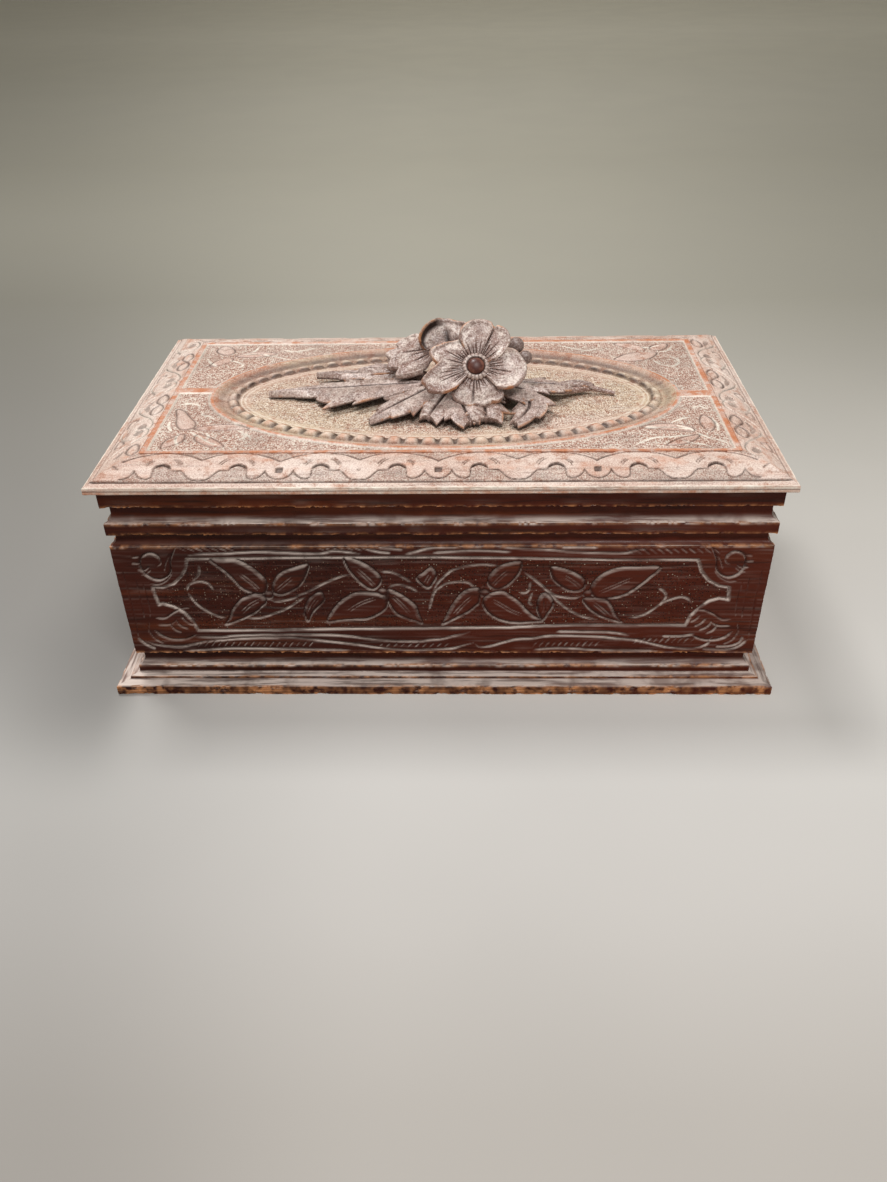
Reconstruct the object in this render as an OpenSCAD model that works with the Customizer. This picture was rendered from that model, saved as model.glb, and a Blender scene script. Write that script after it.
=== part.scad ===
// Carved wooden keepsake box with a hinged lid, a sunk oval on the lid and leaves and flowers on the oval.
// Millimetres, +Z up, +Y to the back. The origin is the centre of the underside, on the surface below.
// The figure "out" is a distance outward from the face of the walls, so a hollow has a negative out.

/* [Walls] */
// Width over the walls
body_w = 272.5; // [240:0.5:320]
// Depth over the walls
body_d = 150.5; // [130:0.5:190]
// Height of the walls, from the plinth to the lid
wall_h = 61.5; // [40:0.5:90]
// Thickness of the wall and rim boards
wall_t = 8; // [7:0.5:12]
// Radius of the hollow along the walls' top edge
wall_hollow_r = 2.75; // [1.5:0.25:3.5]
// Height of the plain neck above that hollow
wall_neck_h = 2.5; // [1.5:0.25:6]

/* [Plinth] */
// How far the plinth stands out beyond the walls
plinth_out = 8.75; // [5:0.25:14]
// Height of the plinth's edge
plinth_edge_h = 4.85; // [3:0.05:8]
// Rounding of the plinth's top edge
plinth_edge_r = 0.85; // [0.4:0.05:1.6]
// How far the upper step stands out beyond the walls
plinth_step_out = 3.5; // [2:0.25:4.5]
// Height of that step
plinth_step_h = 1.3; // [0.6:0.1:3]
// Height of the upright fillet below the hollow
plinth_fillet_h = 3.65; // [2:0.05:6]
// Radius of the hollow under the walls
plinth_hollow_r = 2.75; // [1.5:0.25:3.25]
// Height of the neck between that hollow and the walls
plinth_neck_h = 3.95; // [2:0.25:8]
// How far the plinth reaches inward, under the bottom board
plinth_in = 20; // [14:0.5:28]

/* [Bottom board] */
// Thickness of the bottom board
bottom_t = 6; // [4:0.5:9]
// How far the bottom board reaches under the walls
bottom_lap = 1.5; // [0.5:0.25:3]
// Gap round the bottom board in its rebate
bottom_gap = 0.2; // [0.1:0.05:0.5]

/* [Lid rim] */
// Height of the rim's lower band
rim_low_h = 5.7; // [3:0.1:9]
// Radius of the hollow above the lower band
rim_hollow_r = 3; // [1.5:0.25:4]
// Height of the neck above that hollow
rim_neck_h = 4.2; // [2:0.1:8]
// Height of the rim's upper band
rim_top_h = 8; // [5:0.1:14]

/* [Lid border] */
// How far the border overhangs the walls
border_out = 3.75; // [2:0.25:6]
// Width of the border moulding
border_w = 19; // [14:0.5:26]
// Height of the border's outer edge
border_edge_h = 3.5; // [2.5:0.1:6]
// Rounding of that edge
border_edge_r = 0.9; // [0.4:0.1:1.2]
// Rise of the carved slope from the edge to the panel
border_rise = 5.6; // [4:0.1:9]
// How far the slope bulges above a straight line
border_crown = 1.2; // [0.5:0.1:2]
// Length of the panel's tongue in the border's groove
tongue_l = 4; // [2:0.25:6]
// Thickness of that tongue
tongue_t = 3; // [2:0.1:3.5]
// Height of the tongue above the border's underside
tongue_up = 1.5; // [1:0.1:2.5]
// Gap round the tongue
tongue_gap = 0.1; // [0.05:0.05:0.3]

/* [Sunk oval] */
// Length of the oval
oval_w = 207; // [180:1:215]
// Width of the oval
oval_d = 107; // [90:1:112]
// Oval's place along the panel
oval_x = 1; // [-2:0.5:2]
// Oval's place across the panel
oval_y = -2; // [-2:0.5:2]
// Depth of the oval's floor
oval_depth = 2.5; // [1.5:0.1:4]
// Width of the hollow that leads down to the floor
oval_hollow_w = 7; // [4:0.5:10]
// Radius of a bead
bead_r = 1.9; // [1.2:0.1:2.4]
// How much of a bead stands above the floor
bead_up = 1.3; // [0.6:0.1:1.8]
// Distance from bead to bead
bead_pitch = 7.2; // [6:0.1:12]
// Distance from the oval's edge to the middle of the beads
bead_inset = 9; // [8:0.5:14]

/* [Spray] */
// Length of the spray from the left leaf's tip to the stem's end
spray_l = 156; // [140:1:170]
// Length of the spray's glue block
block_w = 46; // [36:1:54]
// Width of the spray's glue block
block_d = 26; // [20:1:30]
// Height of the spray's glue block
block_h = 6; // [5:0.25:7]
// Thickness of a leaf at its middle
leaf_t = 2.4; // [1.6:0.1:3]
// Gap between the spray and what is set in it
spray_gap = 0.1; // [0.05:0.05:0.3]
// Radius of the dowels under the spray
dowel_r = 2; // [1.5:0.1:3]
// Depth of the dowels in the panel and in the spray
dowel_depth = 3; // [2:0.25:3.5]
// Distance between the dowels
dowel_spacing = 30; // [24:1:34]
// Gap round a dowel
dowel_gap = 0.05; // [0.02:0.01:0.1]

/* [Flowers] */
// Length of the main flower's petals, from its middle
petal_l = 20.5; // [16:0.5:23]
// Thickness of a petal
petal_t = 1.6; // [1.2:0.1:2.4]
// How far the main flower leans towards the front, in degrees
flower_lean = 44.5; // [35:0.5:55]
// Height of the main flower's middle above the oval's floor
flower_up = 19.5; // [18:0.5:26]
// Radius of the main flower's stalk
stalk_r = 3.5; // [2.5:0.25:5]
// Height of the calyx behind the petals
calyx_h = 5; // [3:0.5:7]
// Width of the collar round the button
collar_w = 1.6; // [1:0.1:2.5]
// Height of that collar above the petals
collar_up = 0.7; // [0.4:0.1:1.2]
// Radius of the button in the main flower
boss_r = 3.1; // [2.4:0.1:4]
// Height of the button above the petals
boss_up = 2.6; // [1.5:0.1:3]
// Radius of the button's shank
boss_shank_r = 1.1; // [0.8:0.1:1.6]
// Length of the button's shank
boss_shank_l = 7; // [4:0.5:12]
// Length of the side flower's petals
side_petal_l = 18; // [14:0.5:20]
// Radius of the larger bud
bud_r = 3.5; // [2.5:0.1:4]
// Radius of the smaller bud
small_bud_r = 3; // [2:0.1:3.5]
// Radius of the buds' stem
bud_stem_r = 1.4; // [1:0.1:2]

/* [Hinges] */
// Distance from the back face to the hinge axis
hinge_inset = 2.5; // [2:0.1:3.5]
// Length of a hinge
hinge_l = 25; // [20:1:40]
// Distance from a hinge's middle to the end of the box
hinge_from_end = 51.25; // [30:0.25:80]
// Thickness of a hinge leaf
hinge_leaf_t = 1; // [0.8:0.1:1.4]
// Outer radius of the knuckles
knuckle_r = 1.75; // [1.6:0.05:2]
// Number of knuckles, an odd number
knuckles = 5; // [3:2:7]
// Gap from knuckle to knuckle
knuckle_gap = 0.3; // [0.2:0.05:0.5]
// Radius of the hinge pin
pin_r = 0.8; // [0.6:0.05:0.9]
// Radial gap round the pin in the knuckles
pin_gap = 0.05; // [0.02:0.01:0.1]
// Gap between a knuckle and the wood round it
knuckle_recess_gap = 0.3; // [0.25:0.05:0.5]
// Gap between the two leaves of a closed hinge
leaf_parting = 0.3; // [0.2:0.05:0.6]
// Angle to which the lid opens, in degrees
open_angle = 100; // [90:1:110]
// Radius of a screw's shank
screw_r = 0.8; // [0.6:0.05:1]
// Radius of a screw's head
screw_head_r = 1.5; // [1.2:0.1:1.8]
// Length of a screw
screw_l = 8; // [5:0.5:10]
// Distance between the two screws of a leaf
screw_spacing = 16; // [10:0.5:19]
// Radial gap round a screw in its hole
screw_gap = 0.05; // [0.02:0.01:0.1]

/* [Hidden] */
$fn = 48;
// Steps of a rounded edge or hollow, of the border's slope, of the oval and of its hollow
ARC_STEPS = 8;
CROWN_STEPS = 8;
OVAL_STEPS = 72;
HOLLOW_STEPS = 4;
// Flat on top of the border's edge, where the slope begins
EDGE_FLAT = 0.2;
// Overshoot of a cut beyond the face it opens in
cut = 1;
// Colours of the stained outside, the pale dusty top, the oval, the spray, plain wood, brass and the button
STAIN = [0.27, 0.12, 0.08];
TOP = [0.42, 0.31, 0.27];
SPRAY = [0.45, 0.36, 0.32];
PLAIN = [0.42, 0.26, 0.16];
BRASS = [0.72, 0.56, 0.28];
DARK = [0.16, 0.07, 0.05];

// Levels above the surface
plinth_h = plinth_edge_h + plinth_step_h + plinth_fillet_h + plinth_hollow_r + plinth_neck_h;
seam_z = plinth_h + wall_h;
rim_h = rim_low_h + rim_hollow_r + rim_neck_h + rim_top_h;
border_z = seam_z + rim_h;
lid_h = border_edge_h + border_rise;
lid_top = border_z + lid_h;
floor_z = lid_top - oval_depth;

// Plan sizes
border_in = border_out - border_w;
panel_w = body_w + 2 * border_in;
panel_d = body_d + 2 * border_in;
bottom_w = body_w - 2 * (wall_t - bottom_lap);
bottom_d = body_d - 2 * (wall_t - bottom_lap);

// Hinge axis and the bevels behind it that stop the lid just past its open angle
hinge_y = body_d / 2 - hinge_inset;
STOP_SPARE = 1;
bevel_a = (open_angle + STOP_SPARE) / 2;
recess_r = knuckle_r + knuckle_recess_gap;
screw_y = (hinge_y - recess_r + body_d / 2 - wall_t) / 2;
knuckle_l = (hinge_l - (knuckles - 1) * knuckle_gap) / knuckles;
PIN_HEAD_H = 0.4;
PIN_HEAD_R = 1.2;

// The spray's tables below are drawn for this length, and at() brings them to the length that is set.
// Their points are measured on the oval's floor from the lid's centre.
DRAWN_L = 156;
function at(v) = v * spray_l / DRAWN_L;
flower_at = concat(at([15.2, -15.5]), flower_up);
side_flower_at = at([0.5, 5, 20.5]);
SIDE_TURN = [20, -30, 0];
STANDING_TURN = [68, -10, 0];
bud_at = at([33, 1.5, 22.5]);
small_bud_at = at([37, -2.5, 18.5]);
bud_foot = at([24, 1, 0]);
block_at = at([8, -4, 0]);
// Foot of a leaf, its top a little over the glue block's
function foot(x, y, over) = [x, y, (block_h + over) * DRAWN_L / spray_l];
// Half width of a leaf at its tip
leaf_rim = 0.4;

// Leaves: foot, middle control point, tip, reach of each right and of each left tooth, droop of the edges
LEAVES = [
    [foot(-8, -3, 1), [-34, -1, 5.5], [-78.5, -3, 2.8], [8, 10, 11, 8, 4, 0], [12, 17, 20, 8, 3, 0], 1.5],
    [foot(-6, 6, 0.6), [-30, 14, 5.5], [-59, 15.5, 3.8], [5, 6, 4, 0], [5, 6, 4, 0], 1],
    [foot(-6, 6, 1.5), [-24, 14, 8.5], [-39, 14.5, 6], [4, 8, 0], [4, 5, 0], 1],
    [foot(-1, -5, 1.5), [-13, -17, 7.5], [-30.5, -32.5, 3], [8, 9, 5, 0], [10, 12, 5, 0], 1.5],
    [foot(5, -9, 1.4), [0, -20, 7], [-5, -30, 3.2], [3, 3, 1], [6, 7, 5], 1],
    [foot(8, -9, 1.5), [8, -24, 7], [13, -34.5, 3], [8, 9, 1], [3, 3, 1], 1],
    [foot(16, -9, 1.3), [19, -22, 7], [19.5, -31.5, 3.2], [6, 7, 4], [7, 9, 6], 1],
    [foot(24, -6, 0.4), [48, -18, 6.5], [31.5, -35.5, 3], [4, 6, 3, 1], [5, 7, 5, 1], 1],
    [foot(18, -7, 1.5), [32, -12, 9.5], [42, -12, 5.5], [10, 13, 8, 1], [4, 4, 3, 1], 1],
    [foot(22, -3, 1.2), [44, -5, 8], [57.5, -3.5, 5], [6, 9, 6, 1], [5, 8, 4, 1], 1],
    [[46, -5, 4.5], [60, 3, 6.5], [67.5, -0.5, 4], [2, 2.5, 1], [2, 2.5, 1], 0.5]
];
// Stem at the right end: points and radii
STEM = [
    [[40, -5, 4.5], 1.6], [[56, -3.5, 3.2], 1.5], [[66, -0.5, 3], 1.3], [[72, -0.5, 2], 1.1],
    [[77.5, -2, 1.2], 0.9]
];
STEM_SIDES = 8;

// Petals: direction and half width in degrees, share of the flower's length, how far the tip is cupped and
// how far one side is lifted on a petal of CUP_AT, and the petal's rise in degrees
CUP_AT = 20;
PETALS = [
    [-8, 34, 1.08, 1.5, 1.2, 0],
    [-85, 42, 0.94, 0.5, 1.2, 0],
    [-168, 33, 1.15, 1, 1.2, 0],
    [142, 35, 1.04, 2.5, 1.2, 0],
    [62, 43, 1.02, 2, 1.2, 0]
];
// Petals of the side flower: those that spread to the left, and one that stands behind the main flower
SIDE_PETALS = [
    [170, 33, 1.48, 1, 0.5, 0],
    [118, 24, 0.85, 2, 0.5, 10]
];
STANDING_PETALS = [
    [88, 56, 0.78, 3.5, 0.5, 0]
];
PETAL_SWELL = 0.055;
PETAL_ROWS = 6;
PETAL_COLS = 9;

// Points of an arc in a plane, from one angle to another
function arc(centre, r, from, to, steps) =
    [for (i = [0:steps]) let(a = from + (to - from) * i / steps) centre + r * [cos(a), sin(a)]];
// Points of an arc through two ends that bulges to the left of the way from the first to the second
function bulge(p, q, rise, steps) =
    let(c = norm(q - p), r = (c * c / 4 + rise * rise) / (2 * rise), half = asin(c / 2 / r),
        n = [p[1] - q[1], q[0] - p[0]] / c, centre = (p + q) / 2 + n * (rise - r), lean = atan2(n[1], n[0]))
    arc(centre, r, lean + half, lean - half, steps);

// Sections, as [out, height] points
function wall_section() = concat(
    [[-wall_t, 0], [0, 0]],
    arc([0, wall_h - wall_neck_h], wall_hollow_r, -90, -180, ARC_STEPS),
    [[-wall_hollow_r, wall_h], [-wall_t, wall_h]]
);
function rim_section() = let(neck_top = rim_low_h + rim_hollow_r + rim_neck_h) concat(
    [[-wall_t, 0], [0, 0]],
    arc([0, rim_low_h + rim_hollow_r], rim_hollow_r, -90, -180, ARC_STEPS),
    [[-rim_hollow_r, neck_top], [0, neck_top], [0, rim_h], [-wall_t, rim_h]]
);
function plinth_section() =
    let(step_z = plinth_edge_h + plinth_step_h, hollow_z = step_z + plinth_fillet_h,
        rebate = bottom_gap + bottom_lap - wall_t)
    concat(
        [[-plinth_in, 0], [plinth_out, 0]],
        arc([plinth_out - plinth_edge_r, plinth_edge_h - plinth_edge_r], plinth_edge_r, 0, 90, ARC_STEPS),
        [[plinth_step_out, plinth_edge_h], [plinth_step_out, step_z], [0, step_z]],
        arc([0, hollow_z + plinth_hollow_r], plinth_hollow_r, -90, -180, ARC_STEPS),
        [[-plinth_hollow_r, plinth_h], [rebate, plinth_h], [rebate, plinth_h - bottom_t],
            [-plinth_in, plinth_h - bottom_t]]
    );
function border_section() =
    let(r = border_edge_r, groove_0 = tongue_up - tongue_gap, groove_1 = tongue_up + tongue_t + tongue_gap,
        groove_in = border_in + tongue_l + tongue_gap)
    concat(
        arc([border_out - r, r], r, -90, 0, ARC_STEPS),
        arc([border_out - r, border_edge_h - r], r, 0, 90, ARC_STEPS),
        bulge([border_out - r - EDGE_FLAT, border_edge_h], [border_in, lid_h], -border_crown, CROWN_STEPS),
        [[border_in, groove_1], [groove_in, groove_1], [groove_in, groove_0], [border_in, groove_0],
            [border_in, 0]]
    );

// A length of moulding along the back, its section pointing to +Y, with the plan cut at each end.
// A mitred end follows the corner; a square end stops at the end of the run.
module length_of(section, run, dist, top_out, low_out, mitre_a = true, mitre_b = true) {
    a = mitre_a ? 1 : 0;
    b = mitre_b ? 1 : 0;
    translate([0, dist, 0]) intersection() {
        rotate([90, 0, 90]) translate([0, 0, -run]) linear_extrude(2 * run) polygon(section);
        translate([0, 0, -cut]) linear_extrude(seam_z) polygon([
            [-run / 2 - a * top_out, top_out], [run / 2 + b * top_out, top_out],
            [run / 2 + b * low_out, low_out], [-run / 2 - a * low_out, low_out]
        ]);
    }
}
module on_front() rotate([0, 0, 180]) children();
module on_left() rotate([0, 0, 90]) children();
module on_right() mirror([1, 0, 0]) rotate([0, 0, 90]) children();

// Boards of the walls and of the rim: the sides are mitred to the front and run past the back board
module front_board(section) on_front() length_of(section, body_w, body_d / 2, 0, -wall_t);
module side_board(section) length_of(section, body_d, body_w / 2, 0, -wall_t, true, false);
module back_board(h)
    translate([-body_w / 2 + wall_t, body_d / 2 - wall_t, 0]) cube([body_w - 2 * wall_t, wall_t, h]);

// Wedge behind the hinge axis, cut from the walls (side -1) or from the rim (side 1)
module hinge_bevel(side) {
    reach = hinge_inset + cut;
    translate([0, hinge_y, seam_z]) rotate([90, 0, 90]) translate([0, 0, -body_w]) linear_extrude(2 * body_w)
        polygon([[0, 0], [reach, 0], [reach, side * reach * tan(bevel_a)]]);
}
// Places of the two hinges
module at_hinge(side) translate([side * (body_w / 2 - hinge_from_end), hinge_y, seam_z]) children();
// Cylinder along X about the hinge axis
module on_axis(r, from, to) translate([from, 0, 0]) rotate([0, 90, 0]) cylinder(r = r, h = to - from);
// Room for the knuckles and for a leaf in the edge of a board, side -1 below the seam and 1 above it
module hinge_recess(side) {
    room = hinge_l / 2 + knuckle_gap + PIN_HEAD_H;
    leaf_h = leaf_parting / 2 + hinge_leaf_t;
    on_axis(recess_r, -room, room);
    translate([-hinge_l / 2, -hinge_inset - wall_t, side > 0 ? -cut : -leaf_h])
        cube([hinge_l, hinge_inset + wall_t, leaf_h + cut]);
}
// Places of a leaf's screws, with +Z pointing out of the board's edge
module at_screws(side) for (x = [-1, 1])
    translate([x * screw_spacing / 2, screw_y - hinge_y, side * leaf_parting / 2])
        rotate([side > 0 ? 180 : 0, 0, 0]) children();
module screw(gap = 0) {
    head_h = screw_head_r - screw_r;
    translate([0, 0, -screw_l - gap]) cylinder(r = screw_r + gap, h = screw_l - head_h + gap);
    translate([0, 0, -head_h]) cylinder(r1 = screw_r + gap, r2 = screw_head_r + gap, h = head_h);
}
module screw_holes(side) for (s = [-1, 1]) at_hinge(s) at_screws(side) screw(screw_gap);

// Leaf with every second knuckle: the lower leaf (side -1) has the outer ones
module hinge_leaf(side) {
    first = side < 0 ? 0 : 1;
    edge = body_d / 2 - wall_t - hinge_y;
    lap = sqrt(knuckle_r * knuckle_r - pow(leaf_parting / 2 + hinge_leaf_t, 2));
    low = side > 0 ? leaf_parting / 2 : -leaf_parting / 2 - hinge_leaf_t;
    difference() {
        union() {
            for (k = [first:2:knuckles - 1]) {
                from = -hinge_l / 2 + k * (knuckle_l + knuckle_gap);
                on_axis(knuckle_r, from, from + knuckle_l);
                translate([from, -recess_r - cut, low])
                    cube([knuckle_l, recess_r + cut - lap / 2, hinge_leaf_t]);
            }
            translate([-hinge_l / 2, edge, low]) cube([hinge_l, -edge - recess_r, hinge_leaf_t]);
        }
        on_axis(pin_r + pin_gap, -hinge_l, hinge_l);
        at_screws(side) screw(screw_gap);
    }
}
module hinge_pin() {
    on_axis(pin_r, -hinge_l / 2 - pin_gap, hinge_l / 2 + pin_gap);
    for (s = [0, 1]) mirror([s, 0, 0])
        on_axis(PIN_HEAD_R, hinge_l / 2 + pin_gap, hinge_l / 2 + pin_gap + PIN_HEAD_H);
}
module hinge_screws(side) for (s = [-1, 1]) at_hinge(s) at_screws(side) screw();

// Walls
module wall_cuts() {
    hinge_bevel(-1);
    for (s = [-1, 1]) at_hinge(s) hinge_recess(-1);
    screw_holes(-1);
}
module front_panel() color(STAIN) translate([0, 0, plinth_h]) front_board(wall_section());
module left_panel() color(STAIN) difference() {
    translate([0, 0, plinth_h]) on_left() side_board(wall_section());
    hinge_bevel(-1);
}
module right_panel() color(STAIN) difference() {
    translate([0, 0, plinth_h]) on_right() side_board(wall_section());
    hinge_bevel(-1);
}
module back_panel() color(STAIN) difference() {
    translate([0, 0, plinth_h]) back_board(wall_h);
    wall_cuts();
}
module bottom_board() color(PLAIN) translate([-bottom_w / 2, -bottom_d / 2, plinth_h - bottom_t])
    cube([bottom_w, bottom_d, bottom_t]);

// Plinth
module plinth_long() length_of(plinth_section(), body_w, body_d / 2, plinth_out, -plinth_in);
module plinth_short() length_of(plinth_section(), body_d, body_w / 2, plinth_out, -plinth_in);
module plinth_front() color(STAIN) on_front() plinth_long();
module plinth_back() color(STAIN) plinth_long();
module plinth_left() color(STAIN) on_left() plinth_short();
module plinth_right() color(STAIN) on_right() plinth_short();

// Lid rim
module lid_rim_front() color(STAIN) translate([0, 0, seam_z]) front_board(rim_section());
module lid_rim_left() color(STAIN) difference() {
    translate([0, 0, seam_z]) on_left() side_board(rim_section());
    hinge_bevel(1);
}
module lid_rim_right() color(STAIN) difference() {
    translate([0, 0, seam_z]) on_right() side_board(rim_section());
    hinge_bevel(1);
}
module lid_rim_back() color(STAIN) difference() {
    translate([0, 0, seam_z]) back_board(rim_h);
    hinge_bevel(1);
    for (s = [-1, 1]) at_hinge(s) hinge_recess(1);
    screw_holes(1);
}

// Lid border
module border_long() translate([0, 0, border_z])
    length_of(border_section(), body_w, body_d / 2, border_out, border_in);
module border_short() translate([0, 0, border_z])
    length_of(border_section(), body_d, body_w / 2, border_out, border_in);
module lid_border_front() color(TOP) on_front() border_long();
module lid_border_back() color(TOP) border_long();
module lid_border_left() color(TOP) on_left() border_short();
module lid_border_right() color(TOP) on_right() border_short();

// Oval: points of an ellipse, its length by steps, and the solid that the hollow and the floor leave open
function oval_point(a, inset = 0) = [(oval_w / 2 - inset) * cos(a), (oval_d / 2 - inset) * sin(a)];
function oval_ring(inset, z) =
    [for (i = [0:OVAL_STEPS - 1]) concat(oval_point(i * 360 / OVAL_STEPS, inset), z)];
// Power of the curve by which the hollow runs out into the floor
HOLLOW_POWER = 1.8;
module oval_sink() {
    rings = concat(
        [oval_ring(0, cut)],
        [for (k = [0:HOLLOW_STEPS]) let(u = k / HOLLOW_STEPS)
            oval_ring(u * oval_hollow_w, -oval_depth * (1 - pow(1 - u, HOLLOW_POWER)))]
    );
    n = OVAL_STEPS;
    last = len(rings) - 1;
    faces = concat(
        [[for (i = [0:n - 1]) n - 1 - i]],
        [for (k = [0:last - 1]) for (i = [0:n - 1]) let(j = (i + 1) % n)
            each [[k * n + i, k * n + j, (k + 1) * n + j], [k * n + i, (k + 1) * n + j, (k + 1) * n + i]]],
        [[for (i = [0:n - 1]) last * n + i]]
    );
    translate([oval_x, oval_y, lid_top]) polyhedron([for (r = rings) each r], faces);
}
// Beads at equal steps along the ring, found from the ring's length up to each of many small angles
BEAD_ANGLES = [for (a = [0:2:360]) a];
BEAD_PATH = [for (a = BEAD_ANGLES) oval_point(a, bead_inset)];
RING_LENGTHS = [for (i = 0, l = 0; i < len(BEAD_PATH);
    i = i + 1, l = i < len(BEAD_PATH) ? l + norm(BEAD_PATH[i] - BEAD_PATH[i - 1]) : l) l];
RING_TABLE = [for (i = [0:len(BEAD_PATH) - 1]) [RING_LENGTHS[i], BEAD_ANGLES[i]]];
ring_total = RING_LENGTHS[len(RING_LENGTHS) - 1];
beads = round(ring_total / bead_pitch);
module bead_ring() for (k = [0:beads - 1]) {
    at = oval_point(lookup(k * ring_total / beads, RING_TABLE), bead_inset);
    translate([oval_x + at[0], oval_y + at[1], floor_z + bead_up - bead_r]) sphere(r = bead_r);
}
module lid_panel() color(TOP) {
    tongue_w = panel_w + 2 * tongue_l;
    tongue_d = panel_d + 2 * tongue_l;
    difference() {
        union() {
            translate([-panel_w / 2, -panel_d / 2, border_z]) cube([panel_w, panel_d, lid_h]);
            translate([-tongue_w / 2, -tongue_d / 2, border_z + tongue_up])
                cube([tongue_w, tongue_d, tongue_t]);
        }
        oval_sink();
        translate([0, 0, floor_z - dowel_depth - dowel_gap]) at_dowels()
            cylinder(r = dowel_r + dowel_gap, h = lid_h);
    }
    bead_ring();
}
module at_dowels() for (s = [-1, 1]) translate(block_at + [s * dowel_spacing / 2, 0, 0]) children();
module spray_dowels() color(PLAIN) translate([0, 0, floor_z - dowel_depth]) at_dowels()
    cylinder(r = dowel_r, h = 2 * dowel_depth);

// Closed sheet between a grid of top points and a grid of bottom points, rows by columns
module sheet(top, low, rows, cols) {
    n = rows * cols;
    function quad(a, b, c, d) = [[a, b, c], [a, c, d]];
    faces = concat(
        [for (i = [0:rows - 2]) for (j = [0:cols - 2]) let(p = i * cols + j)
            each quad(p, p + 1, p + cols + 1, p + cols)],
        [for (i = [0:rows - 2]) for (j = [0:cols - 2]) let(p = n + i * cols + j)
            each quad(p, p + cols, p + cols + 1, p + 1)],
        [for (i = [0:rows - 2]) let(p = i * cols, q = p + cols - 1) each concat(
            quad(p, p + cols, n + p + cols, n + p), quad(q + cols, q, n + q, n + q + cols))],
        [for (j = [0:cols - 2]) let(q = (rows - 1) * cols + j) each concat(
            quad(j + 1, j, n + j, n + j + 1), quad(q, q + 1, n + q + 1, n + q))]
    );
    polyhedron(concat(top, low), faces);
}
function bezier(p, q, r, t) = (1 - t) * (1 - t) * p + 2 * t * (1 - t) * q + t * t * r;
function flat_unit(v) = [v[0], v[1], 0] / norm([v[0], v[1]]);

// Leaf: rows run from the foot to the tip, columns from the right edge to the left edge
LEAF_SIDES = [-1, -0.5, 0, 0.5, 1];
TOOTH_STEPS = [0, 0.5, 1];
// Forward sweep of the edges, length of a tooth up to its notch, depth of the notch, width at the foot as a
// share of the first tooth, and how much of its thickness the leaf swells by between midrib and edge
TOOTH_SWEEP = 0.65;
TOOTH_SHARE = 0.94;
NOTCH = 0.68;
FOOT_SHARE = 0.3;
LEAF_SWELL = 0.4;
// Reach of an edge at part u of tooth k: it grows to the tooth's own reach, then falls back to the notch
function edge_reach(teeth, k, u) =
    let(before = k == 0 ? FOOT_SHARE * teeth[0] : teeth[k - 1])
    (before + (teeth[k] - before) * u) * (NOTCH + (1 - NOTCH) * u);
function leaf_row(leaf, k, u, down) =
    let(t = (k + TOOTH_SHARE * u) / len(leaf[3]), mid = bezier(leaf[0], leaf[1], leaf[2], t),
        ahead = bezier(leaf[0], leaf[1], leaf[2], t + 0.01), along = flat_unit(ahead - mid),
        across = [-along[1], along[0], 0])
    [for (s = LEAF_SIDES)
        let(reach = abs(s) * (leaf_rim + at(edge_reach(s < 0 ? leaf[3] : leaf[4], k, u))),
            rise = leaf_t * (LEAF_SWELL * sin(180 * abs(s)) - down * (1 - 0.5 * s * s)) - at(leaf[5]) * s * s)
        at(mid) + reach * (across * sign(s) + along * TOOTH_SWEEP) + [0, 0, rise]];
module leaf(leaf) {
    steps = [for (k = [0:len(leaf[3]) - 1]) for (u = TOOTH_STEPS) [k, u]];
    sheet(
        [for (st = steps) each leaf_row(leaf, st[0], st[1], 0)],
        [for (st = steps) each leaf_row(leaf, st[0], st[1], 1)],
        len(steps), len(LEAF_SIDES)
    );
}
// Round stem through points, each with its radius
module stem(line) {
    n = STEM_SIDES;
    last = len(line) - 1;
    points = [for (k = [0:last]) let(d = flat_unit(line[min(k + 1, last)][0] - line[max(k - 1, 0)][0]))
        for (i = [0:n - 1]) let(a = i * 360 / n)
            at(line[k][0] + line[k][1] * (cos(a) * [-d[1], d[0], 0] + sin(a) * [0, 0, 1]))];
    faces = concat(
        [[for (i = [0:n - 1]) i]],
        [for (k = [0:last - 1]) for (i = [0:n - 1]) let(j = (i + 1) % n)
            each [[k * n + i, (k + 1) * n + i, (k + 1) * n + j], [k * n + i, (k + 1) * n + j, k * n + j]]],
        [[for (i = [0:n - 1]) last * n + n - 1 - i]]
    );
    polyhedron(points, faces);
}
module glue_block() translate(block_at) linear_extrude(block_h)
    polygon([for (a = [0:15:345]) [block_w / 2 * cos(a), block_d / 2 * sin(a)]]);
module leaf_spray() color(SPRAY) translate([0, 0, floor_z]) difference() {
    union() {
        glue_block();
        for (l = LEAVES) leaf(l);
        stem(STEM);
    }
    translate([0, 0, -cut]) at_dowels() cylinder(r = dowel_r + dowel_gap, h = dowel_depth + dowel_gap + cut);
    main_stalk(spray_gap);
    side_stalk(spray_gap);
    bud_stem(spray_gap);
}

// Petal: rows run outward from the flower's middle, columns from the right edge to the left edge.
// The outline has three shallow lobes and falls back at the corners.
function petal_reach(s) = 0.9 + 0.1 * abs(cos(270 * s)) - 0.12 * pow(abs(s), 4);
function petal_grid(p, length, down) =
    [for (i = [0:PETAL_ROWS - 1]) for (j = [0:PETAL_COLS - 1])
        let(u = i / (PETAL_ROWS - 1), s = 2 * j / (PETAL_COLS - 1) - 1, a = p[0] + s * p[1],
            r = boss_r + (length * p[2] * petal_reach(s) - boss_r) * u,
            rise = length * (PETAL_SWELL * sin(180 * u) + (p[3] * u + p[4] * s) * u / CUP_AT))
        [r * cos(p[5]) * cos(a), r * cos(p[5]) * sin(a), r * sin(p[5]) + rise - down * petal_t]];
module petals(list, length) for (p = list)
    sheet(petal_grid(p, length, 0), petal_grid(p, length, 1), PETAL_ROWS, PETAL_COLS);

module in_flower() translate(flower_at) rotate([flower_lean, 0, 0]) children();
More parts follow.
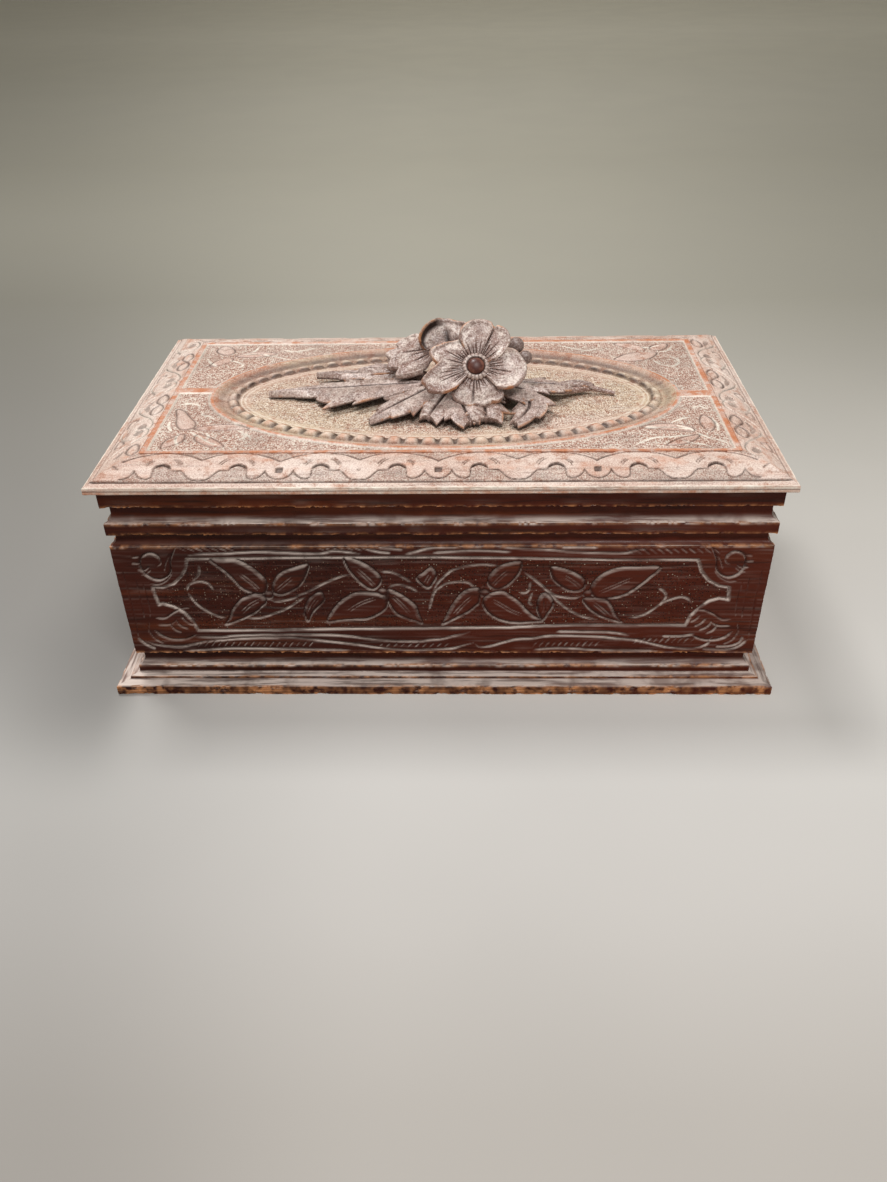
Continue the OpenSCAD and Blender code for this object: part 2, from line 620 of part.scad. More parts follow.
// Stalk from the flower's middle back and down to the floor
module main_stalk(gap = 0) {
    stalk_l = (flower_at[2] + 2 * stalk_r) / cos(flower_lean);
    intersection() {
        in_flower() translate([0, 0, -stalk_l]) cylinder(r = stalk_r + gap, h = stalk_l - petal_t / 2);
        translate([-body_w / 2, -body_d / 2, -gap]) cube([body_w, body_d, lid_h + 2 * petal_l + flower_up]);
    }
}
module main_flower() color(SPRAY) translate([0, 0, floor_z]) difference() {
    union() {
        main_stalk();
        in_flower() {
            petals(PETALS, petal_l);
            translate([0, 0, -petal_t]) cylinder(r = boss_r + collar_w, h = petal_t + collar_up);
            translate([0, 0, -petal_t - calyx_h]) cylinder(r1 = stalk_r, r2 = boss_r + collar_w, h = calyx_h);
        }
    }
    in_flower() translate([0, 0, -boss_shank_l - spray_gap])
        cylinder(r = boss_shank_r + spray_gap, h = boss_shank_l + cut + collar_up);
}
module flower_boss() color(DARK) translate([0, 0, floor_z]) in_flower() {
    translate([0, 0, -boss_shank_l]) cylinder(r = boss_shank_r, h = boss_shank_l + collar_up + boss_up / 2);
    translate([0, 0, collar_up]) intersection() {
        translate([0, 0, boss_up - boss_r]) sphere(r = boss_r);
        cylinder(r = boss_r + cut, h = boss_up + cut);
    }
}

// Side flower on its own stalk, which goes straight down into the spray, with a knot where the petals meet
KNOT_OVER = 0.8;
module side_stalk(gap = 0) translate([side_flower_at[0], side_flower_at[1], -gap])
    cylinder(r = stalk_r + gap, h = side_flower_at[2] + gap);
module side_flower() color(SPRAY) translate([0, 0, floor_z]) difference() {
    union() {
        side_stalk();
        translate(side_flower_at) {
            sphere(r = stalk_r + KNOT_OVER);
            rotate(SIDE_TURN) petals(SIDE_PETALS, side_petal_l);
            rotate(STANDING_TURN) petals(STANDING_PETALS, side_petal_l);
        }
    }
    main_stalk(spray_gap);
}

// Two round buds on one stem that forks a little above the glue block
FORK_UP = 4;
module rod(p, q, r) {
    d = q - p;
    l = norm(d);
    translate(p) rotate([0, acos(d[2] / l), atan2(d[1], d[0])]) cylinder(r = r, h = l);
}
module bud_stem(gap = 0) translate([bud_foot[0], bud_foot[1], -gap])
    cylinder(r = bud_stem_r + gap, h = block_h + FORK_UP + gap);
module bud_cluster() color(SPRAY) translate([0, 0, floor_z]) {
    fork = bud_foot + [0, 0, block_h + FORK_UP - bud_stem_r];
    bud_stem();
    translate(fork) sphere(r = bud_stem_r);
    rod(fork, bud_at, bud_stem_r);
    rod(fork, small_bud_at, bud_stem_r);
    translate(bud_at) sphere(r = bud_r);
    translate(small_bud_at) sphere(r = small_bud_r);
}

module hinge_lower_left() color(BRASS) at_hinge(-1) hinge_leaf(-1);
module hinge_lower_right() color(BRASS) at_hinge(1) hinge_leaf(-1);
module hinge_upper_left() color(BRASS) at_hinge(-1) hinge_leaf(1);
module hinge_upper_right() color(BRASS) at_hinge(1) hinge_leaf(1);
module hinge_pin_left() color(BRASS) at_hinge(-1) hinge_pin();
module hinge_pin_right() color(BRASS) at_hinge(1) hinge_pin();
module hinge_screws_lower() color(BRASS) hinge_screws(-1);
module hinge_screws_upper() color(BRASS) hinge_screws(1);

front_panel();
back_panel();
left_panel();
right_panel();
bottom_board();
plinth_front();
plinth_back();
plinth_left();
plinth_right();
hinge_lower_left();
hinge_lower_right();
hinge_pin_left();
hinge_pin_right();
hinge_screws_lower();
lid_rim_front();
lid_rim_back();
lid_rim_left();
lid_rim_right();
lid_border_front();
lid_border_back();
lid_border_left();
lid_border_right();
lid_panel();
leaf_spray();
main_flower();
flower_boss();
side_flower();
bud_cluster();
spray_dowels();
hinge_upper_left();
hinge_upper_right();
hinge_screws_upper();
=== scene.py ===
import math

import bpy
import numpy as np
from mathutils import Matrix, Vector
from mathutils.geometry import tessellate_polygon


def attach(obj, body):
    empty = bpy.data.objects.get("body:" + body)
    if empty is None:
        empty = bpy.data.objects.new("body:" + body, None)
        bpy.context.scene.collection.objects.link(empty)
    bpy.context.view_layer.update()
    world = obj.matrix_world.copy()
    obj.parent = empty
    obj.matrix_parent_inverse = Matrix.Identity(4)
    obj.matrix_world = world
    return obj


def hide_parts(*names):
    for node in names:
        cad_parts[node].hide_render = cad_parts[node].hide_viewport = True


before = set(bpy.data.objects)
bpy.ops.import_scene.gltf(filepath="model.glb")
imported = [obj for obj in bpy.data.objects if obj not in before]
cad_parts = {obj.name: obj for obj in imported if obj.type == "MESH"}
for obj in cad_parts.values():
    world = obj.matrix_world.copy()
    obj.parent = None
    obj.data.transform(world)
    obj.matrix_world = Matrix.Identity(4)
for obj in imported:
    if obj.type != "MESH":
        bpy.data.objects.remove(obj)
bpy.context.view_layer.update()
MM = 0.001

# Sizes in millimetres, as in the part's source
BODY_W, BODY_D, WALL_H, WALL_T, PLINTH_H = 272.5, 150.5, 61.5, 8.0, 16.5
SEAM_Z, BORDER_Z, LID_TOP, FLOOR_Z = 78.0, 98.9, 108.0, 105.5
PANEL_W, PANEL_D = 242.0, 120.0


# Camera.
def linked(name, data):
    obj = bpy.data.objects.new(name, data)
    bpy.context.scene.collection.objects.link(obj)
    return obj


# Pitch, yaw and roll in degrees, place in mm, and focal length and frame height in pixels of the photograph
CAMERA_TURN, CAMERA_AT, FOCAL, FRAME_H = (35.379, 1.752, 1.096), (11.65, -410.74, 288.60), 975.66, 1182
SENSOR = 36


def look():
    """Camera at the photograph's place: its height, tilt and lens come from the box's corners."""
    pitch, yaw, roll = (math.radians(a) for a in CAMERA_TURN)
    sp, cp, sy, cy = math.sin(pitch), math.cos(pitch), math.sin(yaw), math.cos(yaw)
    forward = Vector((-sy * cp, cy * cp, -sp))
    right = Vector((cy, sy, 0))
    up = Vector((-sy * sp, cy * sp, cp))
    x = math.cos(roll) * right - math.sin(roll) * up
    y = math.sin(roll) * right + math.cos(roll) * up
    m = Matrix((x, y, -forward)).transposed().to_4x4()
    m.translation = Vector(CAMERA_AT) * MM
    data = bpy.data.cameras.new("camera")
    data.sensor_width = SENSOR
    data.lens = FOCAL / FRAME_H * SENSOR
    data.clip_start = 0.01
    camera = linked("camera", data)
    camera.matrix_world = m
    bpy.context.scene.camera = camera


look()
bpy.context.scene.view_settings.view_transform = "Standard"


# Nodes.
class Shader:
    """A material and short calls for its nodes. A value is a number, a colour or another node's output."""

    def __init__(self, name):
        self.mat = bpy.data.materials.new(name)
        self.mat.use_nodes = True
        self.tree = self.mat.node_tree
        self.bsdf = self.tree.nodes["Principled BSDF"]

    def node(self, kind, inputs=None, out=0, **props):
        n = self.tree.nodes.new(kind)
        for k, v in props.items():
            setattr(n, k, v)
        for k, v in (inputs or {}).items():
            self.put(n.inputs[k], v)
        return n.outputs[out]

    def put(self, socket, value):
        if isinstance(value, bpy.types.NodeSocket):
            self.tree.links.new(value, socket)
        elif isinstance(value, (tuple, list)) and len(value) == 3 and socket.type == "RGBA":
            socket.default_value = (*value, 1)
        else:
            socket.default_value = value

    def set(self, **values):
        for k, v in values.items():
            self.put(self.bsdf.inputs[k.replace("_", " ")], v)

    def coords(self, scale=(1, 1, 1)):
        return self.node("ShaderNodeMapping", {
            "Vector": self.node("ShaderNodeTexCoord", out="Object"), "Scale": scale})

    def noise(self, scale, vector=None, detail=3, rough=0.55):
        return self.node("ShaderNodeTexNoise", {
            "Scale": scale, "Detail": detail, "Roughness": rough, "Distortion": 0.0,
            "Vector": vector or self.coords()})

    def math(self, op, a, b=0.0, clamp=False):
        return self.node("ShaderNodeMath", {0: a, 1: b}, operation=op, use_clamp=clamp)

    def times(self, a, b, clamp=False):
        return self.math("MULTIPLY", a, b, clamp)

    def plus(self, a, b):
        return self.math("ADD", a, b)

    def minus(self, a, b):
        return self.math("SUBTRACT", a, b)

    def split(self, value, kind="Color"):
        """The three parts of a colour, or of a vector with the kind XYZ."""
        n = self.tree.nodes.new("ShaderNodeSeparate" + kind)
        self.put(n.inputs[0], value)
        return n.outputs

    def step(self, value, low, high, to_low=0.0, to_high=1.0):
        return self.node("ShaderNodeMapRange", {
            "Value": value, "From Min": low, "From Max": high, "To Min": to_low, "To Max": to_high},
            interpolation_type="SMOOTHSTEP")

    def mix(self, factor, a, b, blend="MIX"):
        n = self.tree.nodes.new("ShaderNodeMix")
        n.data_type = "RGBA"
        n.blend_type = blend
        self.put(n.inputs[0], factor)
        self.put(n.inputs[6], a)
        self.put(n.inputs[7], b)
        return n.outputs[2]

    def masks(self):
        """The mesh's own masks: dust and painted sheen, wear, punched ground, and dirt and painted shade."""
        colour = self.tree.nodes.new("ShaderNodeAttribute")
        colour.attribute_name = "mask"
        return *self.split(colour.outputs["Color"]), colour.outputs["Alpha"]

    def bump(self, height, strength, distance, normal=None):
        ins = {"Height": height, "Strength": strength, "Distance": distance}
        if normal is not None:
            ins["Normal"] = normal
        return self.node("ShaderNodeBump", ins)


# Meshes.
def piece(name, verts, faces, material, body, node, masks=None, smooth=True, angle=None):
    """A mesh in millimetres from arrays of points and of faces, four or three corners each."""
    mesh = bpy.data.meshes.new(name)
    verts = np.asarray(verts, np.float64) * MM
    faces = np.asarray(faces, np.int64)
    n = faces.shape[1]
    mesh.vertices.add(len(verts))
    mesh.vertices.foreach_set("co", verts.astype(np.float32).ravel())
    mesh.loops.add(faces.size)
    mesh.loops.foreach_set("vertex_index", faces.astype(np.int32).ravel())
    mesh.polygons.add(len(faces))
    mesh.polygons.foreach_set("loop_start", np.arange(0, faces.size, n, dtype=np.int32))
    mesh.polygons.foreach_set("loop_total", np.full(len(faces), n, np.int32))
    mesh.update(calc_edges=True)
    mesh.validate()
    if smooth:
        mesh.polygons.foreach_set("use_smooth", np.ones(len(mesh.polygons), bool))
    if angle is not None:
        mesh.set_sharp_from_angle(angle=math.radians(angle))
    data = np.zeros((len(verts), 4), np.float32)
    if masks is not None:
        data[:, :masks.shape[1]] = masks
    attribute = mesh.attributes.new("mask", "FLOAT_COLOR", "POINT")
    attribute.data.foreach_set("color", data.ravel())
    mesh.materials.append(material)
    obj = linked(name, mesh)
    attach(obj, body)
    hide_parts(node)


def grid_faces(rows, cols, start=0, flip=False):
    i, j = np.meshgrid(np.arange(rows - 1), np.arange(cols - 1), indexing="ij")
    p = (i * cols + j).ravel() + start
    quads = np.stack([p, p + 1, p + cols + 1, p + cols], 1)
    return quads[:, ::-1] if flip else quads


def round_quads(rows, sides):
    """Quads between the rings of a round shape, one ring to a row."""
    i, j = np.meshgrid(np.arange(rows - 1), np.arange(sides), indexing="ij")
    i, j = i.ravel() * sides, j.ravel()
    k = (j + 1) % sides
    return np.stack([i + j, i + k, i + sides + k, i + sides + j], 1)


def fan(centre, ring):
    """Triangles, written as quads, from a point to the edges of a ring."""
    after = np.roll(ring, -1)
    return np.stack([np.full(len(ring), centre), ring, after, after], 1)


def closed_sheet(top, low):
    """Points and quads of the closed solid between two grids of points, rows by columns."""
    rows, cols = top.shape[:2]
    n = rows * cols
    ring = np.concatenate([
        np.arange(cols), np.arange(1, rows) * cols + cols - 1, (rows - 1) * cols + np.arange(cols - 2, -1, -1),
        np.arange(rows - 2, 0, -1) * cols])
    after = np.roll(ring, -1)
    faces = np.concatenate([
        grid_faces(rows, cols), grid_faces(rows, cols, n, True),
        np.stack([after, ring, ring + n, after + n], 1)])
    return np.concatenate([top.reshape(-1, 3), low.reshape(-1, 3)]), faces


def joined(parts):
    """Several (points, faces, masks) as one."""
    verts, faces, masks, n = [], [], [], 0
    for v, f, m in parts:
        verts.append(v)
        faces.append(np.asarray(f) + n)
        masks.append(m)
        n += len(v)
    return np.concatenate(verts), np.concatenate(faces), np.concatenate(masks)


def field(shape, cells, seed):
    """Smooth noise from 0 to 1 on a grid: random values at a few cells, joined by smooth curves."""
    rng = np.random.default_rng(seed)
    rows, cols = shape
    values = rng.random((cells[0] + 2, cells[1] + 2))
    y = np.linspace(0, cells[0], rows, endpoint=False)
    x = np.linspace(0, cells[1], cols, endpoint=False)
    iy, ix = y.astype(int), x.astype(int)
    fy, fx = y - iy, x - ix
    fy = (fy * fy * (3 - 2 * fy))[:, None]
    fx = (fx * fx * (3 - 2 * fx))[None, :]
    a, b = values[np.ix_(iy, ix)], values[np.ix_(iy, ix + 1)]
    c, d = values[np.ix_(iy + 1, ix)], values[np.ix_(iy + 1, ix + 1)]
    return (a * (1 - fx) + b * fx) * (1 - fy) + (c * (1 - fx) + d * fx) * fy


# Materials.
def spray_wood():
    """Polished grey-lilac brown wood with pale patches of dust and painted highlight, fine flecks, painted
    shade in its cuts and beneath it, and orange worn rims.
    """
    s = Shader("spray_wood")
    dust_and_sheen, wear, _, dirt_and_shade = s.masks()
    grain = s.noise(700, s.coords((1, 0.3, 0.6)), 4, 0.6)
    patch = s.noise(70, detail=4)
    cloud = s.noise(230, detail=4, rough=0.65)
    base = s.mix(s.step(patch, 0.38, 0.62), (0.30, 0.18, 0.145), (0.50, 0.36, 0.315))
    base = s.mix(s.step(cloud, 0.50, 0.66, 0, 0.7), base, (0.155, 0.075, 0.055))
    base = s.mix(s.step(grain, 0.5, 0.7, 0, 0.45), base, (0.13, 0.065, 0.05))
    # pale patches of dust and painted highlight
    painted_highlight = s.times(dust_and_sheen, s.step(s.noise(620, detail=4), 0.34, 0.60), True)
    base = s.mix(painted_highlight, base, (0.80, 0.68, 0.60))
    fleck = s.noise(1500, detail=1, rough=0.7)
    base = s.mix(s.step(fleck, 0.54, 0.64, 0, 0.42), base, (0.95, 0.85, 0.78))
    base = s.mix(s.step(fleck, 0.46, 0.36, 0, 0.45), base, (0.10, 0.045, 0.035))
    # painted shade in the cuts and beneath the leaves and petals
    base = s.mix(s.times(dirt_and_shade, 0.93), base, (0.022, 0.010, 0.008))
    base = s.mix(s.times(wear, s.step(s.noise(200), 0.32, 0.5), True), base, (0.66, 0.27, 0.09))
    s.set(Base_Color=base, Roughness=s.step(cloud, 0.3, 0.7, 0.26, 0.46),
          Normal=s.bump(fleck, 0.5, 0.0003, s.bump(cloud, 0.6, 0.0007)))
    s.set(Specular_IOR_Level=0.45)
    return s.mat


def dark_button():
    s = Shader("dark_button")
    base = s.mix(s.step(s.noise(300), 0.4, 0.7), (0.075, 0.018, 0.011), (0.20, 0.075, 0.048))
    s.set(Base_Color=base, Roughness=s.step(s.noise(150), 0.3, 0.7, 0.35, 0.55),
          Normal=s.bump(s.noise(500), 0.2, 0.0002))
    return s.mat


def dots(s, scale):
    """Punched dots: how near a point is to a dot's middle, and a number of its own for each dot."""
    n = s.tree.nodes.new("ShaderNodeTexVoronoi")
    n.inputs["Scale"].default_value = scale
    n.inputs["Randomness"].default_value = 0.75
    s.put(n.inputs["Vector"], s.coords())
    return n.outputs["Distance"], s.split(n.outputs["Color"])[0]


def stained_wood(name, stretch):
    """Dark red-brown stained wood with a satin polish, worn orange edges, dust and a painted highlight on what
    looks up, dirt and painted shade in the cuts, and punched ground."""
    s = Shader(name)
    dust_and_sheen, wear, punch, dirt_and_shade = s.masks()
    grain = s.noise(620, s.coords(stretch), 4, 0.6)
    streak = s.noise(95, s.coords(stretch), 3)
    patch = s.noise(26, s.coords([k * 0.5 + 0.1 for k in stretch]), 4)
    cloud = s.noise(240, detail=3)
    base = s.mix(s.step(patch, 0.36, 0.64), (0.038, 0.0066, 0.0032), (0.090, 0.0135, 0.0042))
    base = s.mix(s.step(streak, 0.52, 0.72, 0, 0.6), base, (0.165, 0.034, 0.007))
    base = s.mix(s.step(grain, 0.50, 0.70, 0, 0.6), base, (0.018, 0.006, 0.0035))
    # dirt and painted shade in the cuts
    base = s.mix(s.times(dirt_and_shade, 0.6), base, (0.010, 0.004, 0.003))
    far, chance = dots(s, 980)
    near = s.step(far, 0.12, 0.42, 1, 0)
    base = s.mix(s.times(s.times(punch, near), 0.8), base, (0.012, 0.004, 0.0025))
    glint = s.times(s.step(chance, 0.62, 0.68), s.times(s.step(far, 0.2, 0.34, 1, 0), punch))
    base = s.mix(s.times(glint, 0.5), base, (0.26, 0.125, 0.075))
    speck = s.times(s.step(chance, 0.88, 0.91), s.times(s.step(far, 0.2, 0.3, 1, 0), punch))
    base = s.mix(s.times(speck, s.step(patch, 0.35, 0.6, 0.15, 0.8)), base, (0.50, 0.41, 0.32))
    worn = s.times(wear, s.step(cloud, 0.36, 0.58))
    base = s.mix(worn, base, (0.70, 0.30, 0.12))
    # dust and a painted highlight on what looks up, broken into streaks
    dust_and_sheen_film = s.times(dust_and_sheen, s.step(s.noise(520, s.coords(stretch), 5, 0.65), 0.38, 0.56, 0.3, 1.0))
    dust_and_sheen_film = s.times(dust_and_sheen_film, s.step(s.noise(75, detail=3), 0.34, 0.52, 0.5, 1.0))
    base = s.mix(s.times(dust_and_sheen_film, 0.97), base, (0.82, 0.69, 0.61))
    rough = s.step(cloud, 0.3, 0.7, 0.26, 0.42)
    rough = s.plus(rough, s.times(s.math("MAXIMUM", dust_and_sheen_film, punch), 0.22))
    height = s.minus(s.times(grain, -0.5), s.times(s.times(near, punch), 1.4))
    s.set(Base_Color=base, Roughness=rough, Normal=s.bump(height, 0.7, 0.0003, s.bump(cloud, 0.3, 0.0004)))
    s.set(Specular_IOR_Level=0.13)
    return s.mat


def carved_top(name, stretch, floor=False):
    """The lid's wood, pale pinkish with dust and a painted sheen of the light from above, red-brown where it
    shows through, orange worn fillets, dirt and painted shade in the cuts, speckled punched ground, and bare
    brown wood where it looks down."""
    s = Shader(name)
    dust_and_sheen, wear, punch, dirt_and_shade = s.masks()
    grain = s.noise(520, s.coords(stretch), 4, 0.6)
    streak = s.noise(70, s.coords(stretch), 3)
    patch = s.noise(26, detail=4, rough=0.6)
    cloud = s.noise(190, detail=4, rough=0.65)
    fleck = s.noise(1900, detail=1, rough=0.7)
    # the pale pinkish tones are dust and a painted sheen of the light from above
    if floor:
        base = s.mix(s.step(patch, 0.35, 0.65), (0.54, 0.34, 0.26), (0.60, 0.45, 0.31))
    else:
        base = s.mix(s.step(patch, 0.35, 0.65), (0.58, 0.375, 0.300), (0.74, 0.58, 0.505))
    base = s.mix(s.step(streak, 0.50, 0.72, 0, 0.5), base, (0.86, 0.71, 0.62))
    base = s.mix(s.step(cloud, 0.52, 0.66, 0, 0.7), base, (0.36, 0.125, 0.06))
    base = s.mix(s.step(grain, 0.52, 0.66, 0, 0.5), base, (0.20, 0.08, 0.05))
    if not floor:
        base = s.mix(s.times(punch, 0.5), base, (0.42, 0.21, 0.155))
    share = s.plus(0.45, s.times(punch, 0.55))
    base = s.mix(s.times(share, s.step(fleck, 0.52, 0.62, 0, 0.75)), base, (0.98, 0.88, 0.74))
    base = s.mix(s.times(share, s.step(fleck, 0.47, 0.37, 0, 0.7)), base, (0.17, 0.06, 0.035))
    far, chance = dots(s, 950)
    near = s.step(far, 0.15, 0.5, 1, 0)
    base = s.mix(s.times(s.times(punch, near), 0.4 if floor else 0.66), base, (0.26, 0.082, 0.042))
    speck = s.times(s.step(chance, 0.62, 0.66), s.times(s.step(far, 0.3, 0.55, 1, 0), punch))
    base = s.mix(s.times(speck, 0.45 if floor else 0.75), base, (1.0, 0.93, 0.80))
    base = s.mix(s.times(wear, s.step(cloud, 0.36, 0.56, 0.1, 0.85)), base, (0.55, 0.17, 0.055))
    # dust and a painted highlight on what looks up and along the pale lines
    base = s.mix(s.times(dust_and_sheen, s.step(s.noise(350), 0.28, 0.55, 0.4, 0.95)), base, (1.0, 0.92, 0.79))
    # dirt and painted shade in the cuts
    base = s.mix(s.times(dirt_and_shade, s.step(cloud, 0.3, 0.6, 0.97, 0.75)), base, (0.040, 0.016, 0.011))
    # bare brown wood where it looks down, without the pale dust and painted sheen of the faces above
    facing = s.split(s.node("ShaderNodeTexCoord", out="Normal"), "XYZ")[2]
    base = s.mix(s.step(facing, -0.85, -0.6, 1, 0), base, (0.20, 0.085, 0.045))
    height = s.minus(s.times(fleck, 0.6), s.times(s.times(near, punch), 1.4))
    s.set(Base_Color=base, Roughness=s.step(cloud, 0.3, 0.7, 0.40, 0.60),
          Normal=s.bump(height, 0.7, 0.0003, s.bump(cloud, 0.4, 0.0005)))
    s.set(Specular_IOR_Level=0.4)
    return s.mat


def plain_wood():
    s = Shader("plain_wood")
    stretch = (0.07, 1, 1)
    grain, streak = s.noise(500, s.coords(stretch), 4, 0.6), s.noise(80, s.coords(stretch), 3)
    base = s.mix(s.step(streak, 0.35, 0.68), (0.30, 0.155, 0.080), (0.44, 0.26, 0.15))
    base = s.mix(s.step(grain, 0.50, 0.68, 0, 0.5), base, (0.17, 0.08, 0.04))
    base = s.mix(s.step(s.noise(14, detail=4), 0.45, 0.8, 0, 0.3), base, (0.24, 0.13, 0.07))
    s.set(Base_Color=base, Roughness=s.step(grain, 0.3, 0.7, 0.55, 0.75), Normal=s.bump(grain, 0.35, 0.0003))
    return s.mat


def hinge_brass():
    s = Shader("hinge_brass")
    stain = s.noise(160, detail=5, rough=0.65)
    scratch = s.noise(900, s.coords((0.05, 1, 1)), 2)
    base = s.mix(s.step(stain, 0.40, 0.65), (0.62, 0.42, 0.17), (0.26, 0.16, 0.075))
    s.set(Base_Color=base, Metallic=s.step(stain, 0.55, 0.75, 1.0, 0.75),
          Roughness=s.step(stain, 0.3, 0.7, 0.28, 0.55), Normal=s.bump(scratch, 0.15, 0.0002))
    return s.mat


# Name of the slot, and the wood of the long and of the short sides
STAINED = (
    "stained_wood", stained_wood("stained_long", (0.06, 1, 1)), stained_wood("stained_short", (1, 0.06, 1)))
CARVED = "carved_top", carved_top("carved_long", (0.08, 1, 1)), carved_top("carved_short", (1, 0.08, 1))
CARVED_FLOOR = carved_top("carved_floor", (0.08, 1, 1), True)
PLAIN_WOOD, HINGE_BRASS = plain_wood(), hinge_brass()
SPRAY_WOOD = spray_wood()
DARK_BUTTON = dark_button()


# Spray.
LEAF_T, LEAF_RIM, BLOCK_H = 2.4, 0.4, 6.0
LEAF_STEPS, LEAF_COLS = 13, 49
TOOTH_SWEEP, TOOTH_SHARE, NOTCH, FOOT_SHARE, LEAF_SWELL = 0.65, 0.94, 0.68, 0.3, 0.4
# foot, middle control point, tip, reach of each right and of each left tooth, droop of the edges
LEAVES = [
    [(-8, -3, 7), (-34, -1, 5.5), (-78.5, -3, 2.8), (8, 10, 11, 8, 4, 0), (12, 17, 20, 8, 3, 0), 1.5],
    [(-6, 6, 6.6), (-30, 14, 5.5), (-59, 15.5, 3.8), (5, 6, 4, 0), (5, 6, 4, 0), 1],
    [(-6, 6, 7.5), (-24, 14, 8.5), (-39, 14.5, 6), (4, 8, 0), (4, 5, 0), 1],
    [(-1, -5, 7.5), (-13, -17, 7.5), (-30.5, -32.5, 3), (8, 9, 5, 0), (10, 12, 5, 0), 1.5],
    [(5, -9, 7.4), (0, -20, 7), (-5, -30, 3.2), (6, 7, 3), (8, 9, 5), 1],
    [(8, -9, 8), (8, -24, 7.4), (13, -34.5, 3), (9, 10, 4), (7, 8, 3), 1],
    [(16, -9, 7.3), (19, -22, 7), (19.5, -31.5, 3.2), (8, 9, 5), (9, 10, 6), 1],
    [(24, -6, 7), (48, -18, 7.2), (31.5, -35.5, 3), (6, 9, 6, 2), (8, 10, 6, 2), 1],
    [(18, -7, 7.5), (32, -12, 9.5), (42, -12, 5.5), (10, 13, 8, 1), (6, 6, 4, 1), 1],
    [(22, -3, 7.2), (44, -5, 8), (57.5, -3.5, 5), (6, 9, 6, 1), (5, 8, 4, 1), 1],
    [(46, -5, 4.5), (60, 3, 6.5), (67.5, -0.5, 4), (2, 2.5, 1), (2, 2.5, 1), 0.5],
]
STEM = [((40, -5, 4.5), 1.6), ((56, -3.5, 3.2), 1.5), ((66, -0.5, 3), 1.3), ((72, -0.5, 2), 1.1),
        ((77.5, -2, 1.2), 0.9)]


def leaf_mesh(leaf, seed):
    """A leaf with its teeth, midrib, veins and thin raised edges: rows from foot to tip, columns across."""
    foot, mid, tip, right, left, droop = leaf
    foot, mid, tip = (np.array(p, float) for p in (foot, mid, tip))
    n, steps, cols = len(right), LEAF_STEPS, LEAF_COLS
    k = np.repeat(np.arange(n), steps)
    u = np.tile(np.linspace(0, 1, steps), n)
    t = ((k + TOOTH_SHARE * u) / n)[:, None]
    path = (1 - t) ** 2 * foot + 2 * t * (1 - t) * mid + t * t * tip
    ahead = 2 * (1 - t) * (mid - foot) + 2 * t * (tip - mid)
    along = ahead[:, :2] / np.linalg.norm(ahead[:, :2], axis=1)[:, None]
    along = np.concatenate([along, np.zeros((len(t), 1))], 1)
    across = np.stack([-along[:, 1], along[:, 0], np.zeros(len(t))], 1)
    s = np.linspace(-1, 1, cols)

    def reach(teeth):
        teeth = np.array(teeth, float)
        before = np.concatenate([[FOOT_SHARE * teeth[0]], teeth[:-1]])
        return (before[k] + (teeth[k] - before[k]) * u) * (NOTCH + (1 - NOTCH) * u)

    side = np.where(s[None, :] < 0, reach(right)[:, None], reach(left)[:, None])
    r = np.abs(s)[None, :] * (LEAF_RIM + side)
    top = path[:, None, :] + r[..., None] * (
        across[:, None, :] * np.sign(s)[None, :, None] + along[:, None, :] * TOOTH_SWEEP)
    a = np.abs(s)[None, :] * np.ones_like(r)
    lift = LEAF_T * LEAF_SWELL * np.sin(np.pi * a) - droop * a * a
    # a sharp valley on the midrib with a fine line at either side, and a vein to each tooth
    lift -= 0.5 * np.exp(-(r / 0.45) ** 2) * np.clip(side / 3, 0, 1)
    lift += 0.22 * np.exp(-((r - 0.95) / 0.35) ** 2) * np.clip(side / 4, 0, 1)
    phase = u[:, None] - 0.5 * (1 - a)
    vein = np.exp(-((phase - 0.35) / 0.07) ** 2) + 0.5 * np.exp(-((phase - 0.02) / 0.05) ** 2)
    lift -= (0.22 * vein * np.clip((a - 0.12) * 5, 0, 1) * np.clip((1 - a) * 4, 0.25, 1)
             * np.clip(side / 5, 0, 1))
    lift += 0.5 * np.clip(a - 0.75, 0, 1) * 2 * np.clip(side / 6, 0, 1)
    lift += 0.2 * (field(lift.shape, (n * 2, 6), seed) - 0.5)
    top[..., 2] += lift
    low = top.copy()
    thick = LEAF_T * (1 - 0.62 * a * a)
    low[..., 2] -= np.maximum(thick, 0.5)
    low[..., 2] = np.maximum(low[..., 2], 0.05)
    top[..., 2] = np.maximum(top[..., 2], low[..., 2] + 0.45)
    verts, faces = closed_sheet(top, low)
    wear = np.clip((a - 0.9) * 12, 0, 1) * (side > 1)
    wear *= np.clip(field(a.shape, (n * 3, 8), seed + 50) * 3 - 1.2, 0, 1)
    # painted shade along the midrib and the veins
    rib = np.exp(-((r - 0.3) / 0.28) ** 2) * np.clip(side / 4, 0, 1) * np.clip((1 - t) * 4, 0, 1)
    dark = np.clip(rib + 0.3 * vein * np.clip((a - 0.1) * 6, 0, 1) * np.clip((0.95 - a) * 6, 0, 1), 0, 1)
    masks = np.zeros((2, *a.shape, 4))
    patch = np.clip(field(a.shape, (n * 2, 3), seed + 60) * 2 - 0.5, 0, 1)
    # pale patches of dust and painted highlight
    masks[0, ..., 0] = (0.15 + 0.4 * patch) * (1 - dark)
    masks[0, ..., 1] = wear * 0.6
    masks[0, ..., 3] = dark * np.clip(side / 3, 0, 1)
    # the underside in painted shade
    masks[1, ..., 3] = 1
    verts = verts + [0, 0, FLOOR_Z]
    return verts, faces, masks.reshape(-1, 4)


TUBE_SIDES, TUBE_STEPS = 20, 8


